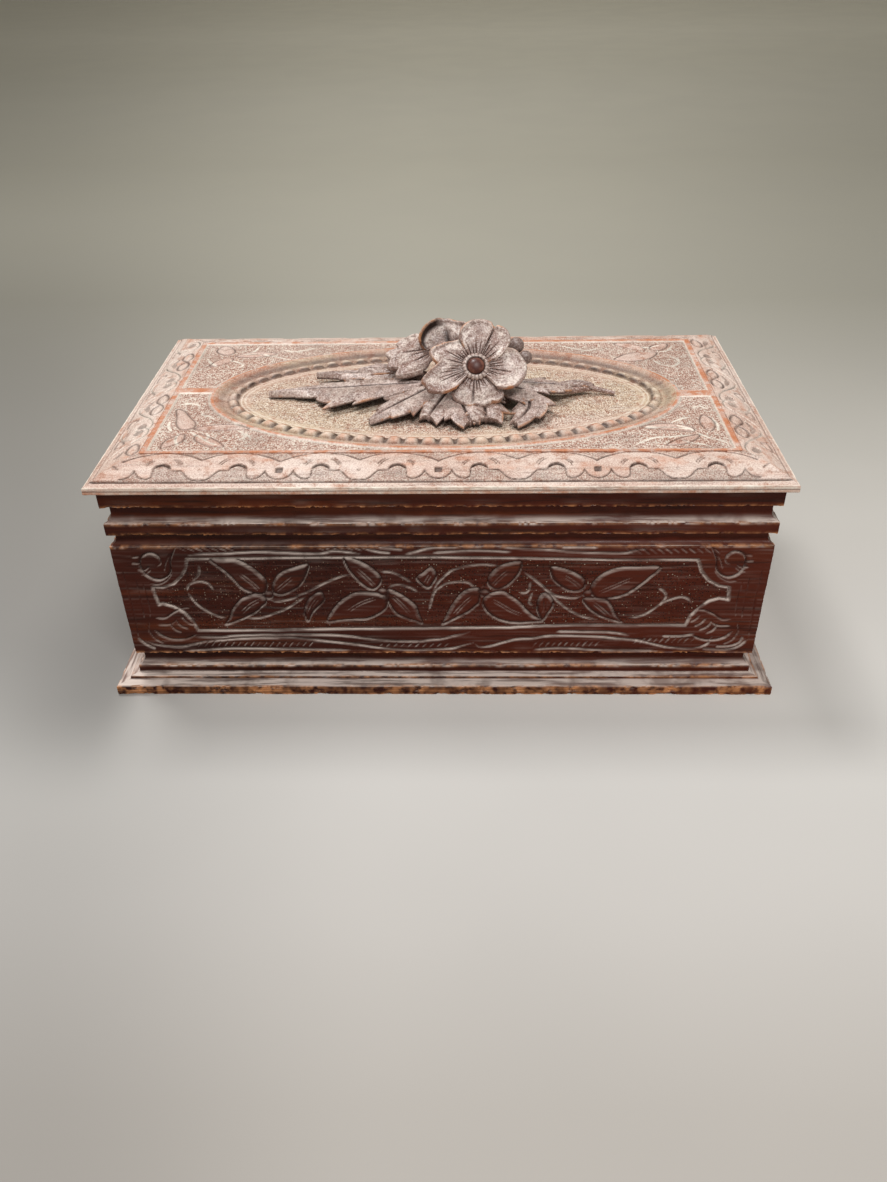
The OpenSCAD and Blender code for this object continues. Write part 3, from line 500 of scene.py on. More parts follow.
def tube(points, radii, seed):
    """A closed round stem through points, with a little unevenness. It has no masks."""
    sides, steps = TUBE_SIDES, TUBE_STEPS
    p = np.array(points, float)
    r = np.array(radii, float)
    m = (len(p) - 1) * steps + 1
    t = np.linspace(0, len(p) - 1, m)
    q = np.stack([catmull(p[:, i], t) for i in range(3)], 1)
    rad = catmull(r, t)
    d = np.gradient(q, axis=0)
    d /= np.linalg.norm(d, axis=1)[:, None]
    side = np.cross(d, [0, 0, 1.0])
    norm = np.linalg.norm(side, axis=1)
    side[norm < 1e-3] = (1, 0, 0)
    side /= np.linalg.norm(side, axis=1)[:, None]
    up = np.cross(side, d)
    a = np.linspace(0, 2 * np.pi, sides, endpoint=False)
    wobble = 1 + 0.10 * (field((m, sides), (len(p) * 2, 3), seed) - 0.5)
    ring = (side[:, None] * np.cos(a)[None, :, None] + up[:, None] * np.sin(a)[None, :, None])
    verts = q[:, None] + ring * (rad[:, None] * wobble)[..., None]
    verts = np.concatenate([verts.reshape(-1, 3), q[:1], q[-1:]])
    j = np.arange(sides)
    return plain(verts, np.concatenate([
        round_quads(m, sides)[:, [0, 3, 2, 1]], fan(m * sides, j), fan(m * sides + 1, (m * sides - 1) - j)]))


def cubic(a, b, c, d, f):
    """Catmull-Rom curve between b and c, at a share f of the way."""
    return 0.5 * (2 * b + (c - a) * f + (2 * a - 5 * b + 4 * c - d) * f * f + (3 * b - a - 3 * c + d) * f ** 3)


def catmull(values, t):
    """Smooth curve through values at 0, 1, 2 and so on, read at t."""
    v = np.concatenate([[2 * values[0] - values[1]], values, [2 * values[-1] - values[-2]]])
    i = np.clip(t.astype(int), 0, len(values) - 2)
    return cubic(v[i], v[i + 1], v[i + 2], v[i + 3], t - i)


def triangles(quads):
    """Quads as triangles, so that a quad with two like corners becomes one triangle."""
    quads = np.asarray(quads)
    both = np.concatenate([quads[:, [0, 1, 2]], quads[:, [0, 2, 3]]])
    good = (both[:, 0] != both[:, 1]) & (both[:, 1] != both[:, 2]) & (both[:, 0] != both[:, 2])
    return both[good]


def plain(verts, quads):
    """A part of a piece that has no masks: its points, triangles and empty masks."""
    return verts, triangles(quads), np.zeros((len(verts), 4))


BALL_RINGS, BALL_SIDES = 28, 40


def ball(centre, r, dent=None):
    """A closed ball. dent(theta, a) gives a share of the radius to take away."""
    rings, sides = BALL_RINGS, BALL_SIDES
    th = np.linspace(0, np.pi, rings + 1)[1:-1]
    a = np.linspace(0, 2 * np.pi, sides, endpoint=False)
    T, A = np.meshgrid(th, a, indexing="ij")
    rad = r * (1 - (dent(T, A) if dent else 0))
    v = np.stack([rad * np.sin(T) * np.cos(A), rad * np.sin(T) * np.sin(A), rad * np.cos(T)], -1)
    m = rings - 1
    verts = np.concatenate([v.reshape(-1, 3), [[0, 0, r]], [[0, 0, -r]]]) + np.array(centre)
    j = np.arange(sides)
    return plain(verts, np.concatenate([
        round_quads(m, sides)[:, [0, 3, 2, 1]], fan(m * sides, j), fan(m * sides + 1, (m * sides - 1) - j)]))


def glue_block():
    a = np.radians(np.arange(0, 360, 5))
    ring = np.stack([8 + 23 * np.cos(a), -4 + 13 * np.sin(a)], 1)
    n = len(a)
    low = np.concatenate([ring, np.zeros((n, 1))], 1)
    top = np.concatenate([ring, np.full((n, 1), BLOCK_H)], 1)
    verts = np.concatenate([low, top, [[8, -4, 0]], [[8, -4, BLOCK_H]]]) + [0, 0, FLOOR_Z]
    j = np.arange(n)
    return plain(verts, np.concatenate([round_quads(2, n), fan(2 * n, j[::-1]), fan(2 * n + 1, j + n)]))


def build_spray():
    parts = []
    for i, leaf in enumerate(LEAVES):
        v, f, m = leaf_mesh(leaf, 100 + i)
        parts.append((v, triangles(f), m))
    parts.append(glue_block())
    parts.append(tube([np.array(p) + [0, 0, FLOOR_Z] for p, r in STEM], [r for p, r in STEM], 3))
    v, f, m = joined(parts)
    piece("leaves", v, f, SPRAY_WOOD, "lid", "leaf_spray", m, angle=50)


build_spray()

# Flowers.
PETAL_T, BOSS_R, BUTTON_R = 1.6, 3.1, 3.7
PETAL_ROWS, PETAL_COLS = 64, 97
STALK_R, CALYX_H = 3.5, 5
FLOWER_AT, FLOWER_LEAN = np.array([15.2, -15.5, 19.5 + FLOOR_Z]), math.radians(44.5)
SIDE_AT = np.array([0.5, 5, 20.5 + FLOOR_Z])
# a petal: its outline as (direction in degrees, reach in mm) from one side to the other, how far its tip rises,
# how far its sides rise, and its creases as (share across, depth, reach)
PETALS = [
    ([(-47, 13.5), (-37, 17), (-27, 19.6), (-17, 21), (-8, 21.8), (3.5, 21.6), (13, 20), (22, 18.6),
      (31, 14.5)], 1.6, 0.9, []),
    ([(219, 12.5), (226, 15.2), (236, 16.6), (248, 16.7), (260, 17.4), (270, 16.7), (281, 17.4), (294, 17),
      (306, 17.8), (316, 16.8), (324, 14)], -0.8, -0.4, [(-0.1, 0.5, 1)]),
    ([(172, 15), (181, 17.5), (189, 21), (197, 24.4), (204, 23.4), (210, 23.2), (217, 20.4), (224, 17),
      (231, 13)], 1.8, 0.6, []),
    ([(110, 13), (120, 14.8), (130, 16), (139, 17.6), (147, 19), (155, 21), (162, 21), (169, 18.6),
      (176, 14.5)], 0.6, -0.5, []),
    ([(19, 11), (28, 14.8), (36, 18.4), (45, 20.3), (54, 21.2), (63, 20.8), (67, 19.8), (71, 21.2), (80, 21.7),
      (91, 21.4), (101, 20), (111, 18), (120, 14.5)], 2.2, 0.8, [(-0.08, 1.4, 1)]),
]
SIDE_PETALS = [
    ([(126, 17), (137, 21), (147, 25), (155, 22.5), (163, 27.5), (171, 25), (180, 27), (188, 22), (197, 24.5),
      (206, 20), (214, 14)], 1.4, -1.2, []),
    ([(92, 12), (100, 15), (110, 16), (120, 15), (131, 13), (141, 10)], 2.5, 0.5, [])]
STANDING_PETAL = (
    [(8, 11), (24, 15), (40, 17.4), (56, 17.2), (72, 16.6), (88, 17.6), (104, 18.4), (120, 18.8), (134, 18.4),
     (148, 17), (162, 13)], 1.5, 0.8, [])


def petal_mesh(petal, seed, flutes=7, wavy=0.6, roll=None):
    """A petal: deep flutes near the middle, a crease or two, and a wavy rim that is rounded and turned up."""
    outline, rise, sides, creases = petal
    outline = np.array(outline, float)
    rng = np.random.default_rng(seed)
    rows, cols = PETAL_ROWS, PETAL_COLS
    s = np.linspace(-1, 1, cols)
    place = np.interp((s + 1) / 2, np.linspace(0, 1, len(outline)), outline[:, 0])
    reach = catmull(outline[:, 1], (s + 1) / 2 * (len(outline) - 1))
    u = np.linspace(0, 1, rows)[:, None] ** 0.9
    a = np.radians(place)[None]
    s = s[None]
    r = BOSS_R * 0.6 + (reach[None] - BOSS_R * 0.6) * u
    z = rise * u * u + 1.1 * np.sin(np.pi * np.clip(u * 1.15, 0, 1)) + sides * s * s * u
    wave = field((1, cols), (1, 5), seed)[0] - 0.5
    z = z + wavy * 2.2 * wave[None] * u ** 2.5
    dark = np.zeros((rows, cols))
    for k in range(flutes):
        at = -0.84 + 1.68 * (k + 0.5) / flutes + rng.uniform(-0.05, 0.05)
        end = rng.uniform(0.55, 0.85) * (1 - 0.25 * abs(at))
        wide = rng.uniform(0.020, 0.036) * 9 / flutes
        bend = at * (1 + 0.10 * u)
        cut = np.clip(1 - np.abs(s - bend) / (wide * (1.5 - 0.9 * u)), 0, 1) * np.clip((end - u) * 5, 0, 1)
        z = z - cut * rng.uniform(0.4, 0.8)
        dark = np.maximum(dark, cut * rng.uniform(0.55, 0.95))
    for at, depth, end in creases:
        cut = np.exp(-((s - at) / 0.05) ** 2) * np.clip((u - 0.3) * 3, 0, 1) * end
        z = z - depth * cut
        dark = np.maximum(dark, cut)
    # the rim is turned up a little, then rounded over
    z = z + 0.55 * np.exp(-((u - 0.93) / 0.06) ** 2) - 1.0 * np.clip((u - 0.96) / 0.04, 0, 1) ** 2
    z = z + 0.5 * (field((rows, cols), (6, 9), seed + 3) - 0.5)
    thick = PETAL_T * (1.15 - 0.45 * u ** 2) + 0 * s
    edge = np.minimum(1, (1 - np.abs(s)) * 9)
    z = z - 0.7 * (1 - edge) ** 2
    turn = np.zeros((rows, cols))
    rolled = np.zeros((rows, cols))
    if roll is not None:
        # part of the rim is rolled over towards the eye
        radius, first, last, bend = roll
        k = int(0.70 * rows)
        share = np.clip((s - first) / 0.25, 0, 1) * np.clip((last - s) / 0.25, 0, 1)
        t = np.clip((np.arange(rows)[:, None] - k) / (rows - 1 - k), 0, 1)
        turn = t * math.radians(bend) * share
        rolled = share * (t > 0)
        r = r * (1 - rolled) + rolled * (r[k:k + 1] + radius * np.sin(turn))
        z = z * (1 - rolled) + rolled * (z[k:k + 1] + radius * (1 - np.cos(turn)))
        rolled = share * np.clip(t * 4, 0, 1)
    low_r, low_z = r + thick * np.sin(turn), z - thick * np.cos(turn)
    grid = [np.stack([p * np.cos(a), p * np.sin(a), h], -1) for p, h in ((r, z), (low_r, low_z))]
    verts, faces = closed_sheet(*grid)
    # painted shade in the flutes and creases, and darker towards the middle of the flower
    dark = dark * np.clip((1.0 - u) * 2.5, 0, 1) + 0.55 * np.clip(1 - u * 1.8, 0, 1)
    rim = np.clip((u - 0.92) * 16, 0, 1) + np.clip((np.abs(s) - 0.93) * 14, 0, 1)
    wear = np.clip(rim, 0, 1) * np.clip(field((rows, cols), (3, 7), seed + 9) * 3.2 - 1.6, 0, 0.8)
    # a pale painted highlight on the outer part of the petal
    painted_highlight = np.clip(field((rows, cols), (5, 7), seed + 5) * 1.9 - 0.35, 0, 1) * np.clip(u * 3 - 1.1, 0, 1)
    masks = np.zeros((2, rows, cols, 4))
    masks[0, ..., 0] = painted_highlight * (1 - dark)
    masks[0, ..., 1] = wear
    # painted shadow under the rolled rim
    masks[0, ..., 3] = np.clip(dark + rolled, 0, 1)
    # a pale painted highlight and orange wear on the rolled rim's outer face
    masks[1, ..., 0] = rolled * 0.5
    masks[1, ..., 1] = np.maximum(wear, rolled * np.clip(turn * 1.2, 0, 0.8))
    # painted shade on the underside
    masks[1, ..., 3] = 0.6 * (1 - rolled)
    return verts, triangles(faces), masks.reshape(-1, 4)


def turned(verts, x=0.0, y=0.0, z=0.0):
    m = np.array(Matrix.Rotation(z, 3, "Z") @ Matrix.Rotation(y, 3, "Y") @ Matrix.Rotation(x, 3, "X"))
    return verts @ m.T


def lathe(profile, sides=48):
    """A closed turned solid from a profile of [radius, height] points that starts and ends on the axis."""
    prof = np.array(profile, float)
    inner = prof[1:-1]
    a = np.linspace(0, 2 * np.pi, sides, endpoint=False)
    v = np.stack([inner[:, :1] * np.cos(a), inner[:, :1] * np.sin(a), inner[:, 1:] + 0 * a], -1)
    m = len(inner)
    verts = np.concatenate([v.reshape(-1, 3), [[0, 0, prof[0, 1]]], [[0, 0, prof[-1, 1]]]])
    j = np.arange(sides)
    return plain(verts, np.concatenate([
        round_quads(m, sides), fan(m * sides, j[::-1]), fan(m * sides + 1, (m - 1) * sides + j)]))


PETAL_UP = (0.4, -0.6, 0.9, -0.3, 0.2)
# Profile of the fluted cushion round the button
CUSHION = [
    [0, -PETAL_T - CALYX_H], [STALK_R, -PETAL_T - CALYX_H], [5.2, -PETAL_T], [5.9, -0.4], [6.1, 0.5],
    [5.9, 1.3], [5.3, 1.9], [4.5, 2.1], [3.9, 1.7], [3.6, 0.9], [0, 0.9]]
TOP_Z = 140.95


def held(v):
    """Points kept below the top of the part."""
    v[:, 2] = np.minimum(v[:, 2], TOP_Z)
    return v


def build_main_flower():
    parts = []
    for i, petal in enumerate(PETALS):
        v, f, m = petal_mesh(petal, 11 + i, 11 if i in (1, 4) else 8)
        parts.append((v + [0, 0, PETAL_UP[i]], f, m))
    v, f, m = lathe(CUSHION, 120)
    a = np.arctan2(v[:, 1], v[:, 0])
    out = np.hypot(v[:, 0], v[:, 1])
    flute = np.clip(np.cos(19 * a) - 0.1, 0, 1) * (v[:, 2] > -1) * (out > 4)
    v[:, :2] *= (1 - 0.055 * flute)[:, None]
    # painted shade in the cushion's flutes and inside it round the button
    m[:, 3] = np.clip(flute * 0.6 + (out < 4.0) * (v[:, 2] > 0) * 0.8, 0, 1)
    # a pale painted highlight on the cushion's crest
    m[:, 0] = 0.5 * (v[:, 2] > 0.8)
    parts.append((v, f, m))
    parts = [(turned(v, x=FLOWER_LEAN) + FLOWER_AT, f, m) for v, f, m in parts]
    axis = turned(np.array([[0, 0, -1.0]]), x=FLOWER_LEAN)[0]
    foot = FLOWER_AT + axis * ((FLOWER_AT[2] - FLOOR_Z) / -axis[2])
    v, f, m = tube([FLOWER_AT + axis * 1.5, (FLOWER_AT + foot) / 2, foot + [0, 0, 0.3]], [STALK_R] * 3, 5)
    v[:, 2] = np.maximum(v[:, 2], FLOOR_Z + 0.02)
    parts.append((v, f, m))
    v, f, m = joined(parts)
    piece("flower", held(v), f, SPRAY_WOOD, "lid", "main_flower", m, angle=50)


def build_boss():
    rise = [[BUTTON_R * math.sin(t), 1.3 + 2.4 * math.cos(t)] for t in np.radians(np.linspace(88, 0, 16))]
    v, f, _ = lathe([[0, -7], [1.1, -7], [1.1, -0.2], [BUTTON_R - 0.3, 1.0]] + rise)
    v = turned(v, x=FLOWER_LEAN) + FLOWER_AT
    piece("button", v, f, DARK_BUTTON, "lid", "flower_boss", angle=40)


def build_side_flower():
    parts = []
    for i, petal in enumerate(SIDE_PETALS):
        v, f, m = petal_mesh(petal, 31 + i, 6, 1.0)
        parts.append((turned(v, *np.radians([24, -22, 0])) + SIDE_AT, f, m))
    v, f, m = petal_mesh(STANDING_PETAL, 41, 1, 0.6, (2.7, 0.0, 1.1, 128))
    m[:, 1] *= 0.7
    parts.append((turned(v, *np.radians([56, -8, 0])) * 0.92 + SIDE_AT + [3.5, 0, -3.5], f, m))
    parts.append(tube([SIDE_AT + [0, 0, -20.4], SIDE_AT + [0, 0, -10], SIDE_AT], [STALK_R] * 3, 8))
    parts.append(ball(SIDE_AT - [0, 0, 1], 3.6))
    v, f, m = joined(parts)
    piece("side_flower_petals", held(v), f, SPRAY_WOOD, "lid", "side_flower", m, angle=50)


def build_buds():
    at, small = np.array([33, 1.5, 22.5 + FLOOR_Z]), np.array([37, -2.5, 18.5 + FLOOR_Z])
    foot = np.array([24, 1, FLOOR_Z])
    fork = foot + [0, 0, BLOCK_H + 4 - 1.4]

    def seams(T, A):
        return 0.05 * np.exp(-((np.cos(2 * A) / 0.16) ** 2)) * np.sin(T)

    parts = []
    for centre, r in ((at, 3.5), (small, 3.0)):
        v, f, m = ball([0, 0, 0], r, seams)
        d = centre - fork
        d = d / np.linalg.norm(d)
        turn = np.array(Vector((0, 0, 1)).rotation_difference(Vector(d)).to_matrix())
        m[:, 3] = 0.5
        parts.append((v @ turn.T + centre, f, m))
        parts.append(tube([fork, (fork + centre) / 2, centre], [1.4, 1.35, 1.4], int(r * 10)))
    parts.append(tube([foot + [0, 0, 0.1], (foot + fork) / 2, fork], [1.4, 1.4, 1.4], 2))
    v, f, m = joined(parts)
    piece("buds", v, f, SPRAY_WOOD, "lid", "bud_cluster", m, angle=50)


build_main_flower()
build_boss()
build_side_flower()
build_buds()


# Carving.
CURVE_STEP = 0.7
# Points measured in one go, for the sake of memory
BATCH = 8000


def curve(points, closed=False):
    """Points close together on a smooth curve through a few points."""
    p = np.array(points, float)
    if closed:
        p = np.concatenate([p[-1:], p, p[:2]])
    else:
        p = np.concatenate([[2 * p[0] - p[1]], p, [2 * p[-1] - p[-2]]])
    out = []
    for i in range(1, len(p) - 2):
        n = max(2, int(np.linalg.norm(p[i + 1] - p[i]) / CURVE_STEP))
        out.append(cubic(*p[i - 1:i + 3], np.linspace(0, 1, n, endpoint=False)[:, None]))
    out.append(p[-2][None])
    return np.concatenate(out)


def line_of(points, closed, smooth):
    """A curve through points, or just the points, with the first one again where it closes."""
    return curve(points, closed) if smooth else np.array(list(points) + list(points[:closed]), float)


def circle(x, y, r, n):
    return [(x + r * math.cos(t), y + r * math.sin(t)) for t in np.linspace(0, 2 * np.pi, n + 1)[:-1]]


class Carving:
    """What is cut into a face: depths at points given along it (u) and across it (v), in millimetres."""

    def __init__(self, u, v):
        self.shape = u.shape
        self.u, self.v = u.ravel(), v.ravel()
        n = self.u.size
        self.cut, self.fine, self.rise = np.zeros(n), np.zeros(n), np.zeros(n)
        self.punch, self.worn, self.dust_and_sheen = np.zeros(n), np.zeros(n), np.zeros(n)

    def near(self, line, pad):
        lo, hi = line.min(0) - pad, line.max(0) + pad
        return np.nonzero((self.u > lo[0]) & (self.u < hi[0]) & (self.v > lo[1]) & (self.v < hi[1]))[0]

    def measure(self, idx, line):
        """Distance to a line, and how far along the line the nearest point is, from 0 to 1."""
        a, d = line[:-1], np.diff(line, axis=0)
        length = np.maximum(np.linalg.norm(d, axis=1), 1e-9)
        total = np.concatenate([[0], np.cumsum(length)])
        dist, along = np.empty(len(idx)), np.empty(len(idx))
        for start in range(0, len(idx), BATCH):
            part = idx[start:start + BATCH]
            w = np.stack([self.u[part], self.v[part]], 1)[:, None] - a[None]
            t = np.clip((w * d).sum(-1) / length ** 2, 0, 1)
            far = ((w - t[..., None] * d) ** 2).sum(-1)
            k = far.argmin(1)
            row = np.arange(len(part))
            dist[start:start + BATCH] = np.sqrt(far[row, k])
            along[start:start + BATCH] = (total[k] + t[row, k] * length[k]) / total[-1]
        return dist, along

    def inside(self, idx, line):
        x, y = self.u[idx], self.v[idx]
        crossed = np.zeros(len(idx), bool)
        for (a, b), (c, d) in zip(line[:-1], line[1:]):
            if b != d:
                crossed ^= ((b > y) != (d > y)) & (x < (c - a) * (y - b) / (d - b) + a)
        return crossed

    def groove(self, points, width=1.3, depth=0.6, taper=0.12, closed=False, fine=False, smooth=True, dust_and_sheen=0.0):
        """A V cut along a line. It thins to its ends over a share of its length."""
        line = line_of(points, closed, smooth)
        idx = self.near(line, width)
        if not len(idx):
            return
        dist, along = self.measure(idx, line)
        thin = np.ones(len(idx)) if closed or not taper else np.clip(
            np.minimum(along, 1 - along) / taper + 0.25, 0, 1)
        shape = np.clip(1 - dist / (width / 2 * thin), 0, 1) * thin
        layer = self.fine if fine else self.cut
        layer[idx] = np.maximum(layer[idx], shape * depth)
        self.dust_and_sheen[idx] = np.maximum(self.dust_and_sheen[idx], dust_and_sheen * np.clip(shape * 2, 0, 1))

    def leaf(self, points, depth=0.8, outer=0.62, inner=1.5, rib=None, gap=0.6):
        """A leaf in a V cut along its outline, rounded up between the cuts, with a cut double midrib."""
        line = curve(points, True)
        idx = self.near(line, outer)
        dist, _ = self.measure(idx, line)
        within = self.inside(idx, line)
        shape = np.where(within, depth * np.clip(1 - dist / inner, 0, 1) ** 1.25,
                         depth * np.clip(1 - dist / outer, 0, 1))
        self.cut[idx] = np.where(within, shape, np.maximum(self.cut[idx], shape))
        self.punch[idx[within]] = 0
        if rib is not None:
            mid = curve(rib)
            way = np.gradient(mid, axis=0)
            way /= np.linalg.norm(way, axis=1)[:, None]
            side = np.stack([-way[:, 1], way[:, 0]], 1)
            for s in (-gap, gap):
                self.groove(mid + side * s, 1.0, 0.5, 0.3, fine=True, smooth=False)

    def ground(self, points, depth=0.2, edge=0.6, punch=1.0, smooth=True):
        """A sunk, punched area inside an outline."""
        line = line_of(points, True, smooth)
        idx = self.near(line, 0.1)
        dist, _ = self.measure(idx, line)
        amount = np.where(self.inside(idx, line), np.clip(dist / edge, 0, 1), 0)
        self.cut[idx] = np.maximum(self.cut[idx], depth * amount)
        self.punch[idx] = np.maximum(self.punch[idx], punch * amount)

    def strokes(self, first, last, step, lean, low, high):
        """Short slanting cuts side by side, as on a twisted ribbon."""
        for k, x in enumerate(np.arange(first, last, step)):
            self.groove([(x, low), (x + lean * 0.5, (low + high) / 2 + 0.15), (x + lean, high)],
                        1.0, 0.5 * (0.8 + 0.2 * (k % 3)), 0.35, fine=True)

    def result(self, dark_from=0.25):
        """Heights, punched ground, wear, dirt and painted shade in the deeper cuts, and dust and painted sheen,
        in the grid's own shape.
        """
        height = self.rise - self.cut - self.fine
        punch = self.punch * (self.cut < 0.45)
        # dirt and painted shade in the deeper cuts
        dirt_and_shade = np.clip((self.cut + self.fine - dark_from) / 0.45, 0, 1)
        return [a.reshape(self.shape) for a in (height, punch, self.worn, dirt_and_shade, self.dust_and_sheen)]


# Moulded boards.
# Cosine and sine of each side's turn from the back, its length and its distance from the middle
SIDES = {
    "back": (1, 0, BODY_W, BODY_D / 2), "left": (0, 1, BODY_D, BODY_W / 2),
    "front": (-1, 0, BODY_W, BODY_D / 2), "right": (0, -1, BODY_D, BODY_W / 2)}
HIDDEN_STEP = 60


def placed(points, side):
    """Points along a board, out of its face and up, brought to their side of the box."""
    c, s, _, dist = SIDES[side]
    x, y = points[..., 0], points[..., 1] + dist
    return np.stack([c * x - s * y, s * x + c * y, points[..., 2]], -1)


def arc(cx, cy, r, first, last, steps=8):
    a = np.radians(np.linspace(first, last, steps + 1))
    return [(cx + r * math.cos(t), cy + r * math.sin(t)) for t in a]


def section_rows(section, fine, coarse, shown):
    """Points along a closed section: close together where it is seen, and only its corners elsewhere."""
    section = np.array(section, float)
    rows, seen = [], []
    for i, p in enumerate(section):
        q = section[(i + 1) % len(section)]
        length = np.linalg.norm(q - p)
        if length < 1e-6:
            continue
        see = shown(p) and shown(q)
        n = max(1, int(round(length / (fine if see else coarse))))
        for k in range(n):
            rows.append(p + (q - p) * k / n)
            seen.append(bool(shown(p)) if k == 0 else see)
        if shown(p) != shown(q) and length > 2.4:
            # one more point, so that the wear of the seen end stays there
            rows.append(p + (q - p) * (1.0 if shown(p) else length - 1.0) / length)
            seen.append(False)
    return np.array(rows), np.array(seen)


def section_turns(rows):
    """Place of each point along a closed section that runs anticlockwise, its length, and the turn there."""
    length = np.linalg.norm(np.roll(rows, -1, 0) - rows, axis=1)
    place = np.concatenate([[0], np.cumsum(length)[:-1]])
    a = rows - np.roll(rows, 1, 0)
    b = np.roll(rows, -1, 0) - rows
    return place, length.sum(), np.degrees(np.arctan2(a[:, 0] * b[:, 1] - a[:, 1] * b[:, 0], (a * b).sum(1)))


def moulding(name, section, side, z, wood, body, node, fine, step, mitre=(1, 1), carve=None, seed=0, chips=0.45,
             waves=0.15, limit=None, worn_at=(), inner_out=-3.1, face_dust_and_sheen=1.0, ledge=1.0, hidden=0.0):
    """A board with a moulded and carved section that runs anticlockwise, worn along its edges. mitre says which
    ends are mitred: the one at the smaller place along the board, and the other. carve(u, rows, seen) gives
    what is cut into it, limit(points) holds its points back, and worn_at names more edges of the section.
    face_dust_and_sheen and ledge are the shares of dust and painted highlight on its face and on what looks up
    elsewhere, and hidden is how dark the part behind inner_out is."""
    run = SIDES[side][2]
    rows, seen = section_rows(section, fine, HIDDEN_STEP, lambda p: p[0] > inner_out)
    ahead = np.roll(rows, -1, 0) - rows
    ahead /= np.linalg.norm(ahead, axis=1)[:, None]
    way = ahead + np.roll(ahead, 1, 0)
    normal = np.stack([way[:, 1], -way[:, 0]], 1)
    normal /= np.maximum(np.linalg.norm(normal, axis=1), 1e-9)[:, None]
    place, total, turn = section_turns(rows)
    cols = max(2, int(run / step))
    a = np.linspace(-1, 1, cols)[None]
    shape = (len(rows), cols)
    seen_at = seen[:, None].astype(float)

    def along(out):
        return np.where(a < 0, a * (run / 2 + out * mitre[0]), a * (run / 2 + out * mitre[1]))

    gap = np.full(len(rows), 1e9)
    extra = [place[np.hypot(*(rows - p).T).argmin()] for p in worn_at]
    for e in [*place[(turn > 25) & seen], *extra]:
        d = np.abs(place - e)
        gap = np.minimum(gap, np.minimum(d, total - d))
    parts = max(2, int(run / 9))
    long = field(shape, (6, parts * 2), seed + 1)
    short = field(shape, (12, parts * 8), seed + 2)
    ends = np.clip((1 - np.abs(a)) * run / 5, 0, 1)
    chip = np.clip(long * 1.5 + short - 1.3, 0, 1) * ends
    height = -np.exp(-(gap[:, None] / 0.65) ** 2) * seen_at * (0.12 + chips * chip * 1.8)
    height -= field(shape, (5, parts), seed + 3) * waves * seen_at * ends
    masks = np.zeros((*shape, 4))
    masks[..., 1] = np.exp(-(gap[:, None] / 0.9) ** 2) * seen_at * np.clip(0.2 + long * 1.1 - 0.4 * short, 0, 1)
    extra_dust_and_sheen = 0
    if carve is not None:
        cut, masks[..., 2], worn, masks[..., 3], extra_dust_and_sheen = carve(along(rows[:, :1]), rows, seen)
        height += cut
        masks[..., 1] = np.maximum(masks[..., 1], worn)
    out = rows[:, :1] + height * normal[:, :1]
    up = rows[:, 1:] + height * normal[:, 1:]
    dout, dup = np.gradient(out, axis=0), np.gradient(up, axis=0)
    # dust and a painted highlight on what looks up; on ledges and coves it gathers where they are flattest
    dust_and_sheen_share = face_dust_and_sheen * np.where(np.abs(rows[:, :1]) < 1e-6, 1.0, ledge)
    slope = np.clip(-dout / (np.hypot(dout, dup) + 1e-9), 0, 1)
    slope = np.where(np.abs(rows[:, :1]) < 1e-6, slope, slope ** 2.2)
    masks[..., 0] = np.clip(slope * dust_and_sheen_share + extra_dust_and_sheen, 0, 1) * seen_at
    masks[..., 3] = np.where(seen[:, None], masks[..., 3], hidden)
    world = placed(np.stack([along(out), out, up + z], -1), side)
    if limit is not None:
        limit(world)
    n = len(rows)
    i, j = np.meshgrid(np.arange(n), np.arange(cols - 1), indexing="ij")
    i, j = i.ravel(), j.ravel()
    k = (i + 1) % n
    quads = np.stack([k * cols + j, k * cols + j + 1, i * cols + j + 1, i * cols + j], 1)
    flat = [Vector((p[0], p[1], 0)) for p in rows]
    cap = np.array(tessellate_polygon([flat]))
    p, q, r = rows[cap[:, 0]], rows[cap[:, 1]], rows[cap[:, 2]]
    clockwise = np.cross(q - p, r - p) < 0
    cap[clockwise] = cap[clockwise][:, ::-1]
    faces = np.concatenate([triangles(quads), cap[:, ::-1] * cols, cap * cols + cols - 1])
    slot, long_wood, short_wood = wood
    piece(name, world.reshape(-1, 3), faces, long_wood if side in ("front", "back") else short_wood, body, node,
          masks.reshape(-1, 4), angle=50)


